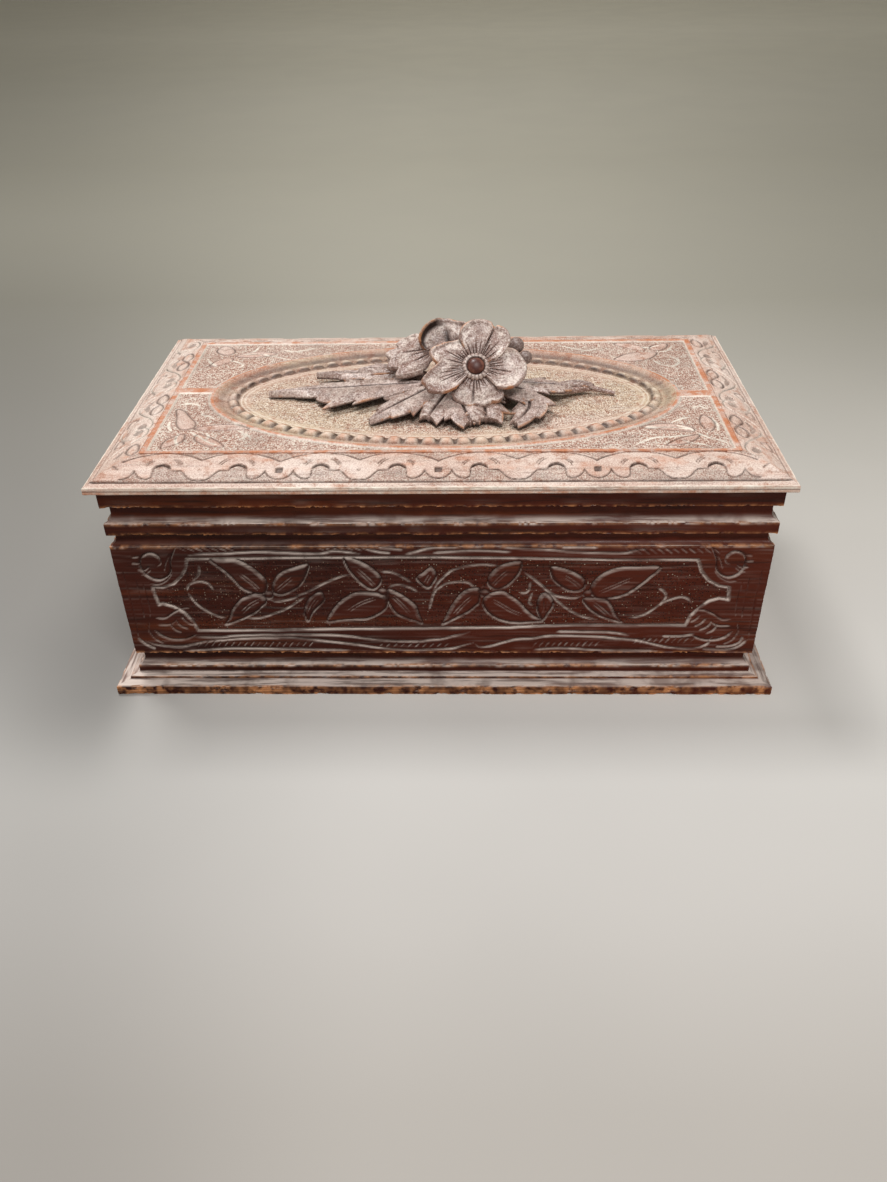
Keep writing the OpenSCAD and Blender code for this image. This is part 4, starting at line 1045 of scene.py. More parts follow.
# Front and side walls.
# Outlines, midribs and stems as [along, up] points on the face, up from the surface below
FRONT_CARTOUCHE = [
    (-106.5, 29.2), (-70, 29.6), (-40, 30.2), (0, 30.6), (30, 30.8), (45, 31.8), (68, 32.2), (105.5, 32.0),
    (107, 37), (110, 41), (114, 45), (118, 46.3), (122, 45.5), (121.3, 51.7), (117, 52.5), (112, 55.5),
    (108.5, 60), (106.5, 65.6), (68, 65.8), (40, 66.5), (0, 67.2), (-60, 67.2), (-80, 66.8), (-105.5, 66.5),
    (-106.5, 62), (-109, 58), (-113, 54), (-118, 52), (-122.5, 52.3), (-121.3, 43.2), (-119.5, 43.8),
    (-115, 42), (-111, 39), (-108, 34),
]
FRONT_LEAVES = [
    ([(-96, 66), (-91, 60.5), (-87.5, 56), (-84.5, 51.5), (-79, 48.6), (-75, 49), (-73.5, 54.5), (-75.5, 58.5),
      (-79, 62.5), (-84.5, 66), (-90, 66.3)], [(-85, 60), (-80, 55), (-76, 49.8)]),
    ([(-76, 47.5), (-80, 48.3), (-85, 46.5), (-88, 43.5), (-90.5, 40), (-92, 36), (-94, 32.3), (-88, 34.5),
      (-84, 36.5), (-80, 39), (-77, 42), (-75, 44)], [(-77, 46), (-82, 43), (-86, 39)]),
    ([(-71.5, 49.5), (-70.5, 55.5), (-66.5, 60), (-61, 62.3), (-55, 63.7), (-56.5, 58), (-59.5, 53),
      (-63.5, 50), (-68, 48)], [(-70.5, 50), (-66, 54), (-61.5, 58)]),
    ([(-51, 49.5), (-55.5, 47), (-58, 43), (-59, 38.5), (-57.8, 34), (-55.5, 38.5), (-52.5, 42),
      (-49.8, 45.5)], [(-52, 47), (-55, 43), (-57, 38.5)]),
    ([(-40, 66.8), (-38.5, 61.5), (-35.5, 56.5), (-32, 52.5), (-28.5, 50.8), (-25.5, 53.5), (-25, 57.5),
      (-28.5, 62), (-33, 65), (-37, 66.8)], [(-35, 62), (-31, 57.5), (-27, 52.5)]),
    ([(-24, 48), (-30, 49.5), (-36, 49.3), (-41, 46.5), (-45, 42.5), (-48, 38), (-49.5, 33.6), (-44, 34.2),
      (-38, 34.8), (-33, 35), (-30, 36), (-26, 38.5), (-23.5, 41), (-23, 44)], [(-27, 47), (-34, 44),
      (-41, 39)]),
    ([(-22.5, 50), (-21.5, 51), (-17, 48.5), (-13, 45), (-10.5, 42), (-9.5, 38), (-8, 33), (-11, 34),
      (-14, 35), (-18.5, 37.5), (-21, 41), (-22.5, 45)], [(-20.5, 48), (-16.5, 43), (-12.5, 37.5)]),
    ([(-10, 56.5), (-7, 59.5), (-3.5, 62.5), (-1.5, 58), (-3, 54), (-5.5, 51.5)], [(-6.5, 54), (-4, 59)]),
    ([(20.5, 53), (20.3, 57), (23.5, 61.5), (28, 64), (33.8, 64.8), (33.5, 60), (31, 55.5), (27.5, 52),
      (23.5, 50.8)], [(21.5, 52.5), (25, 57), (29, 61)]),
    ([(17, 50), (16, 51.5), (12, 51), (9, 49), (6.5, 45.5), (4, 41), (2, 36), (0.5, 32.2), (4, 34), (8, 36.5),
      (12, 39), (15, 42), (16.5, 44)], [(14, 48), (9.5, 43), (5, 37)]),
    ([(20, 48), (26, 50), (30, 47.5), (34, 44), (37, 40), (40, 37), (44, 34), (39, 33.3), (34, 33), (29, 33.5),
      (24, 35.5), (20, 39), (18, 44)], [(21, 46.5), (26, 43), (31, 39.5), (37, 37)]),
    ([(44.5, 49), (42, 46.5), (41.3, 42), (42, 38), (44, 34.5), (46, 38), (48, 42), (47.8, 45.5)], [(44.8, 47),
      (44.5, 42), (44.2, 37.5)]),
    ([(46.5, 62), (47, 57), (50, 53), (54.5, 50), (58.5, 49.8), (61, 52), (60.5, 56), (56, 59.5), (51, 61.5)],
     [(60, 51), (56, 55), (51, 58.5)]),
    ([(66.5, 46), (63.5, 50), (64.5, 54.5), (68.5, 59), (74.5, 61.8), (82, 62.2), (91.5, 62), (88, 57),
      (84, 52.5), (78.5, 48), (72, 46)], [(66, 49), (73, 52.5), (81, 57)]),
    ([(61, 46), (62.5, 42), (66, 38.5), (70, 36), (74, 34.5), (78.5, 33), (76.5, 35.5), (74.5, 39), (73, 42.5),
      (70, 45.5)], [(64, 45), (68.5, 41), (73, 36.5)]),
]
FRONT_KNOBS, KNOB_R = [(-73.5, 48), (-24.5, 49.5), (18.8, 49), (62.5, 48.3)], 1.9
FRONT_VINES = [
    [(-73.5, 45.5), (-70, 44.5), (-64, 46), (-60, 48), (-55, 50.5), (-50, 53.5), (-45, 56), (-41, 57.8),
     (-37.5, 58.5)],
    [(-85, 35.5), (-78, 36), (-72, 38.3), (-68, 40), (-64, 42.5), (-60, 45.5), (-57, 47.5)],
    [(-93, 36), (-95, 36.2), (-98, 37.5), (-101, 39.5), (-104, 42), (-106, 45), (-108, 49.5)],
    [(-108, 50), (-107, 53), (-104, 54.8), (-100.5, 55), (-98, 53.5), (-96.5, 50.5)],
    [(-101, 63.5), (-101.3, 60), (-102.5, 57.5), (-105, 55.5)],
    [(-25, 60), (-21, 59.8), (-17, 58), (-12, 54.3)],
    [(-22, 52), (-20, 53), (-17, 53.2), (-13, 52), (-9.5, 49.5)],
    [(-1, 52), (-3, 48), (-4, 44), (-5, 40)],
    [(-3, 50), (-1, 54), (1.5, 57), (5, 60.5), (10, 62.3), (17, 63.3), (22, 63), (25, 62.5)],
    [(-2, 50), (0, 52), (3, 54), (8, 54.8), (12, 54.2), (14, 52.3), (15.8, 51.6)],
    [(33.5, 49.2), (36, 49), (37.5, 50.5), (38, 54.5)],
    [(39, 49), (38, 45.5), (38, 43.5), (39.5, 42.5)],
    [(35, 59.5), (40, 55.5), (45, 50.5), (48, 48), (52, 46.7), (57, 46.2), (60.5, 47.5)],
    [(36, 59), (42, 53.5), (47, 48), (50, 44.5), (55, 40), (60, 37), (64, 35.5), (68, 34.8)],
    [(80, 36), (84, 36.3), (88, 38), (91, 40.5), (94, 43.5), (96.5, 45), (99, 46), (102, 46.8), (104.5, 46),
     (106, 44.5), (107, 43)],
    [(91.5, 51.5), (94, 50), (95.5, 47.5), (95, 45.5), (93, 42.5)],
]
RIBBONS_TOP = [
    [(-105, 68.4), (-100, 69), (-90, 69.3), (-75, 70.2), (-60, 69.5), (-50, 69.2), (-44, 70.4), (-38, 69.9),
     (-32, 68.8)],
    [(-30, 71.5), (-25, 70), (-20, 69.3)],
    [(-25, 72.2), (-15, 71)],
    [(-14, 69), (-10, 70), (-5, 71.6), (0, 72.2), (8, 72.3)],
    [(-3, 69.3), (0, 69.7), (15, 70.5), (30, 69.8)],
    [(25, 72.2), (35, 71.3), (45, 70.8), (55, 69.8), (68, 69.2), (76, 69.3), (80, 70.3), (85, 71)],
    [(50, 72.1), (65, 71.8)],
]
RIBBONS_LOW = [
    [(-134, 25), (-131, 21.5), (-127, 19)],
    [(-131, 23.5), (-127, 21.5), (-122, 20.5), (-115, 20.3), (-110, 21.5), (-104, 23), (-95, 24), (-88, 24.7),
     (-70, 25.3), (-60, 24.5), (-50, 23.3), (-40, 21.8), (-35, 21), (-30, 20), (-22, 18.8), (-12, 18.2),
     (0, 18.8), (5, 19.3), (10, 21), (14, 22.5)],
    [(-110, 25.6), (-98, 25.4), (-90, 26.4), (-70, 26.9), (-50, 26.8), (-40, 26), (-33, 24.7), (-27, 24),
     (-18, 23.3), (-10, 23.2), (-5, 24), (0, 24.6), (5, 26), (10, 27.3), (13, 28.8)],
    [(-115, 17.8), (-108, 18.2), (-100, 18.8), (-90, 19.3), (-66, 18.8), (-40, 18.2)],
    [(15, 21.5), (17, 20), (22, 20.7), (27, 22.5), (33, 24.3), (40, 24.8), (45, 26), (52, 26.3), (68, 25.8),
     (75, 25), (85, 23.8), (95, 21), (100, 19.8), (108, 19), (112, 19.5), (116, 21.5), (117.5, 24.5),
     (117.5, 27)],
    [(40, 18.5), (50, 19.3), (60, 19), (68, 18.3), (95, 17.9)],
    [(50, 28.6), (68, 28.4), (75, 28), (82, 26.5)],
    [(96, 26), (104, 26), (110, 27)],
    [(114, 19), (125, 18.5), (130, 20.5), (133, 24)],
    [(120, 20.3), (126, 20.5), (130, 22.5), (131, 26)],
]
# First and last place, step, lean, and height at the near and the far end
FRONT_STROKES = [
    (-108, -85, 3.4, 3.6, 72.0, 70.6), (-50, -30, 3.0, 3.2, 72.0, 70.8), (76, 112, 3.2, 4.0, 71.8, 68.6),
    (-108, -58, 2.9, 2.4, 20.2, 23.4), (40, 68, 2.7, 2.4, 20.2, 23.6), (84, 110, 2.7, 2.6, 22.2, 25.6),
    (-28, 2, 3.2, 2.6, 19.8, 22.4)]
# Scroll of a corner as seen at the left of the front, from the corner's place [end of the face, its upper edge]
SCROLL = [
    ([(27.2, 0.2), (23.7, 6.7), (22.7, 12.7), (19.2, 16.2), (15.2, 16.2), (11.7, 13.2), (10.7, 8.7),
      (12.2, 4.7), (16.2, 3.2), (19.2, 5.2), (19.7, 8.2), (17.7, 9.7)], 1.5, 0.75),
    ([(24.6, 3.4), (21.5, 8.6), (20.6, 12)], 0.9, 0.4),
    ([(8.2, 5.2), (13.2, 4.5), (15, 2.6)], 1.1, 0.5),
    ([(9.2, 11.2), (12.5, 11.5), (14.5, 9.8)], 1.1, 0.5),
    ([(10.2, 13.8), (13, 13), (15, 11.2)], 0.9, 0.4),
    ([(7.5, 8), (11, 8.4)], 1.0, 0.5),
    ([(13, 18.5), (17, 18.8), (21, 16.5), (24, 12.5)], 0.8, 0.35),
]
SHELL = [
    ([(12.2, 20), (16.2, 19.6), (20.5, 22.5), (24.5, 24.5), (28.5, 25)], 1.3, 0.6),
    ([(12.2, 16), (17.2, 16), (21, 18)], 1.1, 0.5),
    ([(10.5, 13), (13.5, 9.5), (18.5, 7.7), (24, 8.2), (28.5, 10.5)], 1.4, 0.7),
    ([(17.5, 17.5), (19.5, 13.5), (22.8, 11.6)], 1.0, 0.5),
    ([(20.5, 19), (22.5, 15.4), (26, 13.4)], 1.0, 0.5),
    ([(23.5, 20.5), (25.5, 17.4), (28.5, 15.6)], 1.0, 0.5),
    ([(26.5, 22), (28.2, 19.6), (30.5, 18.2)], 0.9, 0.45),
    ([(9, 18), (8, 13), (10, 8), (14.5, 5)], 0.9, 0.4),
]


def corner_scrolls(c, half, low, high):
    """Scrolls in the upper corners and shells in the lower ones, each a little different."""
    for sx in (-1, 1):
        for lines, right_size, edge, up in ((SCROLL, 0.94, high, -1), (SHELL, 0.95, low, 1)):
            k = 1 if sx < 0 else right_size
            for points, width, depth in lines:
                c.groove([(sx * (half - x * k), edge + up * y * k) for x, y in points], width, depth, 0.15)
        for x, y0, y1, width in ((2.7, 8.5, 45.5, 1.1), (7.2, 19, 41, 0.9), (10.2, 20, 38, 0.8)):
            c.groove([(sx * (half - x), low + y0), (sx * (half - x - 0.4), low + (y0 + y1) / 2),
                      (sx * (half - x), low + y1)], width, 0.45, 0.1, fine=True)


def worked(c, x, seed):
    """Marks of the knife on the plain parts: faint facets, nicks and scratches."""
    shape = c.shape
    facets = field(shape, (9, max(4, int(np.ptp(x) / 7))), seed) * 0.16
    grain = field(shape, (70, max(4, int(np.ptp(x) / 14))), seed + 1) * 0.10
    c.fine += (facets + grain).ravel()


def wall_carver(half, draw, seed):
    low, high = PLINTH_H, PLINTH_H + WALL_H - WALL_NECK - WALL_HOLLOW

    def carve(x, rows, seen):
        face = np.nonzero((np.abs(rows[:, 0]) < 1e-6) & (rows[:, 1] <= high - low + 1e-6) & seen)[0]
        u, v = np.broadcast_arrays(x, rows[:, 1:] + low)
        parts = [np.zeros(u.shape) for _ in range(5)]
        c = Carving(-u[face], v[face])
        worked(c, x, seed)
        draw(c, half, low, high)
        for full, part in zip(parts, c.result()):
            full[face] = part
        # the lowest and highest rows of the face keep its edges
        keep = np.clip(np.minimum(rows[:, 1], high - low - rows[:, 1]) / 0.5, 0, 1)[:, None]
        parts[0] *= keep
        return parts

    return carve


def draw_front(c, half, low, high):
    c.ground(FRONT_CARTOUCHE, 0.22, 0.5, smooth=False)
    c.groove(FRONT_CARTOUCHE, 1.5, 0.75, closed=True, smooth=False, dust_and_sheen=0.35)
    for outline, rib in FRONT_LEAVES:
        c.leaf(outline, rib=rib)
    for x, z in FRONT_KNOBS:
        c.leaf(circle(x, z, KNOB_R, 9), 0.6, 0.7, 1.6)
    for line in FRONT_VINES:
        c.groove(line, 1.4, 0.62, 0.15, dust_and_sheen=0.3)
    for line in RIBBONS_TOP:
        c.groove(line, 1.3, 0.55, 0.1, dust_and_sheen=0.25)
    for line in RIBBONS_LOW:
        c.groove(line, 1.35, 0.6, 0.08, dust_and_sheen=0.25)
    for stroke in FRONT_STROKES:
        c.strokes(*stroke)
    corner_scrolls(c, half, low, high)


SIDE_VINES = [
    [(36, 52), (40, 56), (45, 57), (49, 55), (50, 51), (47.5, 48.5)],
    [(40, 37), (44, 38.5), (47, 42), (51, 45.5), (55, 48.5)]]


def draw_side(c, half, low, high):
    """The same kind of frame with one pair of the front's leaf groups."""
    e = half - 30.5
    outline = [
        (-e, 30.2), (0, 31), (e, 31.4), (e + 1.5, 37), (e + 4.5, 41), (e + 9, 45), (e + 13, 46.3),
        (e + 16.5, 46), (e + 16.3, 51.7), (e + 11, 52.5), (e + 6.5, 55.5), (e + 3, 60), (e, 65.8), (0, 66.6),
        (-e, 66.4), (-e - 1, 62), (-e - 3.5, 58), (-e - 7.5, 54), (-e - 12, 52), (-e - 16.3, 52), (-e - 16, 44),
        (-e - 9, 42), (-e - 5, 39), (-e - 2, 34)]
    c.ground(outline, 0.22, 0.5, smooth=False)
    c.groove(outline, 1.5, 0.75, closed=True, smooth=False, dust_and_sheen=0.35)

    def moved(points):
        return [(x - 1.5, y) for x, y in points]

    for outline, rib in FRONT_LEAVES:
        if -55 < outline[0][0] < 46:
            c.leaf(moved(outline), rib=moved(rib))
    for x, z in FRONT_KNOBS[1:3]:
        c.leaf(moved(circle(x, z, KNOB_R, 9)), 0.6, 0.7, 1.6)
    for line in FRONT_VINES[5:12]:
        c.groove(moved(line), 1.4, 0.62, 0.15, dust_and_sheen=0.3)
    for sx, sy in ((-1, 0), (1, 1.5)):
        for up, line in ((sy, SIDE_VINES[0]), (-sy, SIDE_VINES[1])):
            c.groove([(sx * x, z + up) for x, z in line], 1.4, 0.6, 0.15, dust_and_sheen=0.3)
    c.groove([(-45, 69), (-30, 70.3), (-12, 69.4), (4, 70.2), (22, 69.5), (45, 70)], 1.3, 0.55, 0.1, dust_and_sheen=0.25)
    c.groove([(-62, 22), (-50, 20.5), (-36, 22.5), (-20, 25), (-2, 25.4), (14, 23), (28, 20.2), (44, 19.6),
              (58, 21.5), (64, 25)], 1.35, 0.6, 0.08, dust_and_sheen=0.25)
    c.groove([(-48, 25.4), (-34, 26.2), (-14, 27.4), (6, 26.8), (24, 24.4), (40, 24.6), (50, 26.8)],
             1.35, 0.6, 0.08, dust_and_sheen=0.25)
    c.strokes(-30, 12, 2.9, 2.4, 20.2, 23)
    c.strokes(-40, 38, 3.3, 3.4, 72.0, 70.8)
    corner_scrolls(c, half, low, high)


WALL_HOLLOW, WALL_NECK = 2.75, 2.5
WALL_SECTION = ([(-WALL_T, 0), (0, 0)] + arc(0, WALL_H - WALL_NECK, WALL_HOLLOW, -90, -180)
                + [(-WALL_HOLLOW, WALL_H), (-WALL_T, WALL_H)])
RIM_SECTION = ([(-WALL_T, 0), (0, 0)] + arc(0, 8.7, 3, -90, -180)
               + [(-3, 12.9), (0, 12.9), (0, 20.9), (-WALL_T, 20.9)])
PLINTH_SECTION = ([(-20, 0), (8.75, 0)] + arc(7.9, 4.0, 0.85, 0, 90) + [(3.5, 4.85), (3.5, 6.15), (0, 6.15)]
                  + arc(0, 12.55, 2.75, -90, -180) + [(-2.75, 16.5), (-6.3, 16.5), (-6.3, 10.5), (-20, 10.5)])
PLINTH_WORN = [(8.5, 4.6), (8.75, 0.6), (8.75, 2.2), (8.75, 3.6)]
HINGE_Y, STOP_SLOPE = 72.75, math.tan(math.radians(50.5))


def on_the_table(points):
    points[..., 2] = np.maximum(points[..., 2], 0)


def wall_bevel(points):
    """Room behind the hinge axis for the open lid, at the back end of a side wall."""
    points[..., 2] = np.minimum(points[..., 2], SEAM_Z - np.maximum(points[..., 1] - HINGE_Y, 0) * STOP_SLOPE)


def rim_bevel(points):
    points[..., 2] = np.maximum(points[..., 2], SEAM_Z + np.maximum(points[..., 1] - HINGE_Y, 0) * STOP_SLOPE)


def build_walls():
    moulding("wall_front", WALL_SECTION, "front", PLINTH_H, STAINED, "box", "front_panel", 0.46, 0.46,
             carve=wall_carver(BODY_W / 2, draw_front, 11), seed=21, ledge=0.08)
    for side, ends, seed in (("left", (1, 0), 31), ("right", (0, 1), 41)):
        moulding("wall_" + side, WALL_SECTION, side, PLINTH_H, STAINED, "box", side + "_panel", 0.5, 0.5, ends,
                 wall_carver(BODY_D / 2, draw_side, seed), seed, limit=wall_bevel, ledge=0.08)
    for side, seed in (("front", 51), ("back", 55), ("left", 61), ("right", 65)):
        moulding("foot_" + side, PLINTH_SECTION, side, 0, STAINED, "box", "plinth_" + side, 0.45, 0.6,
                 seed=seed, chips=0.5, waves=0.2, limit=on_the_table, worn_at=PLINTH_WORN, ledge=0.85)
    for side, step, ends, seed, limit in (
            ("front", 0.5, (1, 1), 71, None), ("left", 0.6, (1, 0), 75, rim_bevel),
            ("right", 0.6, (0, 1), 79, rim_bevel)):
        moulding("rim_" + side, RIM_SECTION, side, SEAM_Z, STAINED, "lid", "lid_rim_" + side, 0.45, step, ends,
                 seed=seed, chips=1.0, waves=0.45, limit=limit)


build_walls()

# Lid border.
BORDER_OUT, BORDER_IN, GROOVE_OUT = 3.75, -15.25, -11.35 + 0.1


def bulge(p, q, rise, steps):
    """Points of an arc through two ends that bulges to the right of the way from the first to the second."""
    p, q = np.array(p), np.array(q)
    c = np.linalg.norm(q - p)
    t = np.linspace(0, 1, steps + 1)[:, None]
    n = np.array([q[1] - p[1], p[0] - q[0]]) / c
    return [tuple(v) for v in p + (q - p) * t + n * rise * 4 * t * (1 - t)]


BORDER_SECTION = (arc(2.85, 0.9, 0.9, -90, 0, 5) + arc(2.85, 2.6, 0.9, 0, 90, 5)
                  + bulge((2.65, 3.5), (BORDER_IN, 9.1), 1.2, 24)
                  + [(BORDER_IN, 4.6), (GROOVE_OUT, 4.6), (GROOVE_OUT, 1.4), (BORDER_IN, 1.4), (BORDER_IN, 0)])


SCROLLS = 5
STRAP_CENTRES, STRAP_STEP = [-94.5, -31.2, 31.5, 94], 31.5
STRAP_ENDS = [
    [(0, 13), (3, 15.5), (7, 15), (10, 13), (14, 11)], [(1, 8), (4, 10.4), (8, 10.2), (12, 7.5), (14, 5)]]


def strap_period(c, x0, sx):
    """Half a period of the front border's strap, from the middle of a pair of arches outwards. Points are
    [along, inward from the edge]."""
    def m(points):
        return [(x0 + sx * x, b) for x, b in points]

    arch = [(15.2 + 3.5 * math.cos(t), 8.4 + 3.2 * math.sin(t)) for t in np.radians(np.linspace(180, 0, 15))]
    line = ([(0, 3.7), (2.8, 4.0), (4.6, 5.0), (6.2, 6.8), (7.6, 8.1), (9.4, 8.3)] + arch
            + [(18.8, 6.2), (19.2, 5.0), (20.6, 4.3), (22.5, 4.5), (24.2, 5.4), (25.4, 6.8), (26, 8.2),
               (26.6, 6.8), (27.8, 5.4), (29.5, 4.5), (31.5, 4.2)])
    c.ground(m(line + [(31.5, 3.1), (0, 3.1)]), 0.2, 0.3, 0.5, smooth=False)
    c.groove(m(line), 0.85, 0.75, 0, fine=True, smooth=False)
    # a deep cut under the top of each arch, dark with painted shadow
    c.groove(m([(x, y - 0.4) for x, y in arch[1:-1]]), 1.7, 1.2, 0.25, fine=True, smooth=False)
    c.groove(m([(0, 14), (2.5, 15.4), (6, 17.2), (11, 18.5), (15, 18.8), (20, 18.2), (25, 16.6), (29, 14.6),
                (31.5, 13)]), 1.0, 0.95, 0)
    c.ground(m([(0, 14.6), (3, 16.6), (8, 18.4), (11, 18.9), (0, 18.9)]), 0.2, 0.4, 0.6)
    c.ground(m([(31.5, 13.8), (29, 15.6), (24, 17.9), (20, 18.9), (31.5, 18.9)]), 0.2, 0.4, 0.6)
    for radius, first, last in ((7.3, 172, 112), (8.4, 168, 118), (6.4, 62, 8), (7.3, 58, 18)):
        t = np.radians(np.linspace(first, last, 7))
        c.groove(m([(15.2 + radius * math.cos(k), 9.0 + radius * 0.85 * math.sin(k)) for k in t]), 0.8, 0.75,
                 0.25, fine=True)
    c.groove(m([(12.6, 13.4), (15.2, 14.2), (17.9, 13.4)]), 0.7, 0.5, 0.2, fine=True)


def draw_straps(c, _):
    """Straps with keyhole arches, pendants and scallops along a long border."""
    for x0 in STRAP_CENTRES:
        for sx in (-1, 1):
            strap_period(c, x0, sx)
        c.groove(circle(x0, 8.3, 0.5, 8), 0.9, 0.5, closed=True, fine=True)
    for x0 in [(p + q) / 2 for p, q in zip(STRAP_CENTRES, STRAP_CENTRES[1:])]:
        c.ground([(x0 - 1.5, 7), (x0 + 1.5, 7), (x0 + 1.5, 9.6), (x0 - 1.5, 9.6)], 0.8, 0.3, 0, smooth=False)
    for sx in (-1, 1):
        end = STRAP_CENTRES[-1] + STRAP_STEP
        for line in STRAP_ENDS:
            c.groove([(sx * (end + x), b) for x, b in line], 1.2, 0.5, 0.1)


def draw_scrolls(c, half):
    """Leafy scrolls and sunk ovals along a side border."""
    room = half - 14
    for k in range(SCROLLS):
        x0 = -room + (k + 0.5) * (2 * room / SCROLLS)
        s = 1 if k % 2 else -1

        def m(points):
            return [(x0 + s * x, b) for x, b in points]

        c.groove(m([(-13, 4.5), (-8, 6.5), (-3, 10), (2, 14.5), (7, 17), (12, 16.5), (14, 13.5), (12.5, 11),
                    (10, 11.5)]), 1.4, 0.65, 0.12, dust_and_sheen=0.4)
        c.groove(m([(13.5, 4.2), (9, 5), (5, 7.5), (3.5, 11), (4.5, 13)]), 1.3, 0.55, 0.12, dust_and_sheen=0.4)
        c.leaf(m([(-12, 15.5), (-9, 17.5), (-4.5, 17.2), (-1.5, 15), (-4, 12.6), (-8.5, 12.4)]), 0.7, 0.7, 1.8)
        c.leaf(m([(-1, 5), (2.5, 4.5), (6.5, 5), (4, 7.6), (0.5, 8.6)]), 0.6, 0.6, 1.6)
        c.ground(m([(-12.5, 7.5), (-9, 8.6), (-5.5, 11), (-9, 11.4), (-12.5, 10)]), 0.45, 0.5)
        c.ground(m([(6, 12.8), (8.5, 15), (11.3, 14.8), (12, 12.6), (9, 10.2)]), 0.45, 0.5)
        for o in (0, 1.8, 3.6):
            c.groove(m([(-10 + o, 13.2), (-8.2 + o, 15), (-7.6 + o, 16.6)]), 0.7, 0.3, 0.3, fine=True)
    c.groove([(-half, 3.3), (half, 3.3)], 1.0, 0.4, 0, smooth=False)


def border_carver(half, draw, seed):
    def carve(x, rows, seen):
        top = np.nonzero((rows[:, 1] > 3.45) & seen)[0]
        inward = BORDER_OUT - rows[:, 0]
        u, b = np.broadcast_arrays(x, inward[:, None])
        parts = [np.zeros(u.shape) for _ in range(5)]
        c = Carving(-u[top], b[top])
        worked(c, x, seed)
        c.groove([(-half - 5, 2.9), (half + 5, 2.9)], 1.1, 0.75, 0, smooth=False)
        draw(c, half)
        got = c.result(0.22 if draw is draw_straps else 0.34)
        # nothing is cut across the mitre
        room = np.clip((half + rows[top, :1] - np.abs(x[top])) / 1.2, 0, 1)
        got[0] = got[0] * room
        streak = field(got[0].shape, (10, max(4, int(half / 6))), seed + 5)
        strap = (c.cut.reshape(got[0].shape) < 0.1) * np.clip(streak * 3 - 1.8, 0, 1)
        got[2] = np.maximum(got[2], strap * 0.45)
        for full, part in zip(parts, got):
            full[top] = part
        # painted shade in the valley between the two beads
        valley = (np.abs(rows[:, 1] - 1.75) < 0.3) & (rows[:, 0] > 2.7)
        parts[3][valley] = 0.8
        parts[0][valley] = -0.15
        # dust and painted highlight along the upper bead
        bead = (rows[:, 0] > 2.2) & (rows[:, 1] > 2.1) & (rows[:, 1] < 3.5)
        parts[4][bead] = 0.2 + 0.7 * field((int(bead.sum()), u.shape[1]), (2, max(6, int(half / 4))), seed + 7)
        # orange wear, and dust with painted highlight, on the lower bead
        under = (rows[:, 1] < 1.6) & (rows[:, 0] > 1.5)
        parts[2][under] = 0.75
        parts[4][under] = 0.5 * field((int(under.sum()), u.shape[1]), (2, max(6, int(half / 3))), seed + 8)
        return parts

    return carve


def build_borders():
    for side, draw, fine, step, seed in (
            ("front", draw_straps, 0.39, 0.445, 91), ("back", draw_straps, 0.4, 0.45, 95),
            ("left", draw_scrolls, 0.36, 0.4, 101), ("right", draw_scrolls, 0.36, 0.4, 105)):
        moulding("border_" + side, BORDER_SECTION, side, BORDER_Z, CARVED, "lid", "lid_border_" + side, fine,
                 step, carve=border_carver(SIDES[side][2] / 2, draw, seed), seed=seed, chips=0.4, waves=0.1,
                 inner_out=-15.3, worn_at=[(3.75, 0.9), (3.75, 2.6)], face_dust_and_sheen=0.1, hidden=0.8)


build_borders()

# Lid panel.
OVAL_W, OVAL_D, OVAL_X, OVAL_Y, OVAL_DEPTH, HOLLOW_W = 207.0, 107.0, 1.0, -2.0, 2.5, 7.0
BEAD_INSET, BEAD_PITCH = 9.0, 7.2
SLAB_TOP = 105.0
FIELD_STEP, DISH_COLS = 0.37, 1080
# Place and half the width of the cross bands beside the oval
LEFT_BAND, RIGHT_BAND = (1.75, 2.4), (-4.5, 2.8)
# Sprays of the four corners, as [along, across] points seen from above
SPRAY_LINES = [
    [(-104, -21), (-103, -24), (-100, -25), (-97, -28.5)],
    [(-105, -40), (-100, -45), (-95, -50), (-90, -53.5)],
    [(-109, -42), (-109.5, -46), (-108.5, -50), (-106.5, -53)],
    [(-85, -39), (-82, -42), (-81, -46), (-83, -47.5)],
    [(-82, -41), (-79, -45), (-78, -48)],
    [(-117, -14), (-112, -12), (-107, -14), (-106, -18)],
    [(-98, -41), (-96, -45), (-97, -48)],
    [(-116, -30), (-115, -36), (-112.5, -40)],
    [(97, -34), (101, -31), (105, -28.5)],
    [(98, -36), (102, -39), (106, -42)],
    [(85, -38), (92, -38.5), (98, -39), (104, -41)],
    [(104, -45), (95, -47), (88, -48), (82, -52), (79, -54.5)],
    [(106, -43), (110, -48), (115, -51), (117, -54)],
    [(108, -20), (112, -18), (115, -21)],
    [(99, -50), (103, -53), (108, -54)],
    [(115, -30), (116, -36), (115, -42)],
    [(-100, 44), (-93, 45), (-85, 43), (-78, 39.5), (-74, 37)],
    [(-95, 47), (-93, 50), (-92, 55)],
    [(-104, 38), (-97, 33), (-96, 30), (-97.5, 28)],
    [(-115, 40), (-112, 34), (-108, 30)],
    [(-80, 50), (-74, 48), (-68, 50), (-62, 53)],
    [(95, 52), (100, 50), (106, 52)],
    [(76, 50), (70, 47), (64, 49), (58, 53)],
    [(108, 40), (112, 34), (110, 28), (105, 26)],
    [(112, 52), (109, 46), (105, 44.5)],
    [(100, 34), (103, 29), (107, 27)],
]
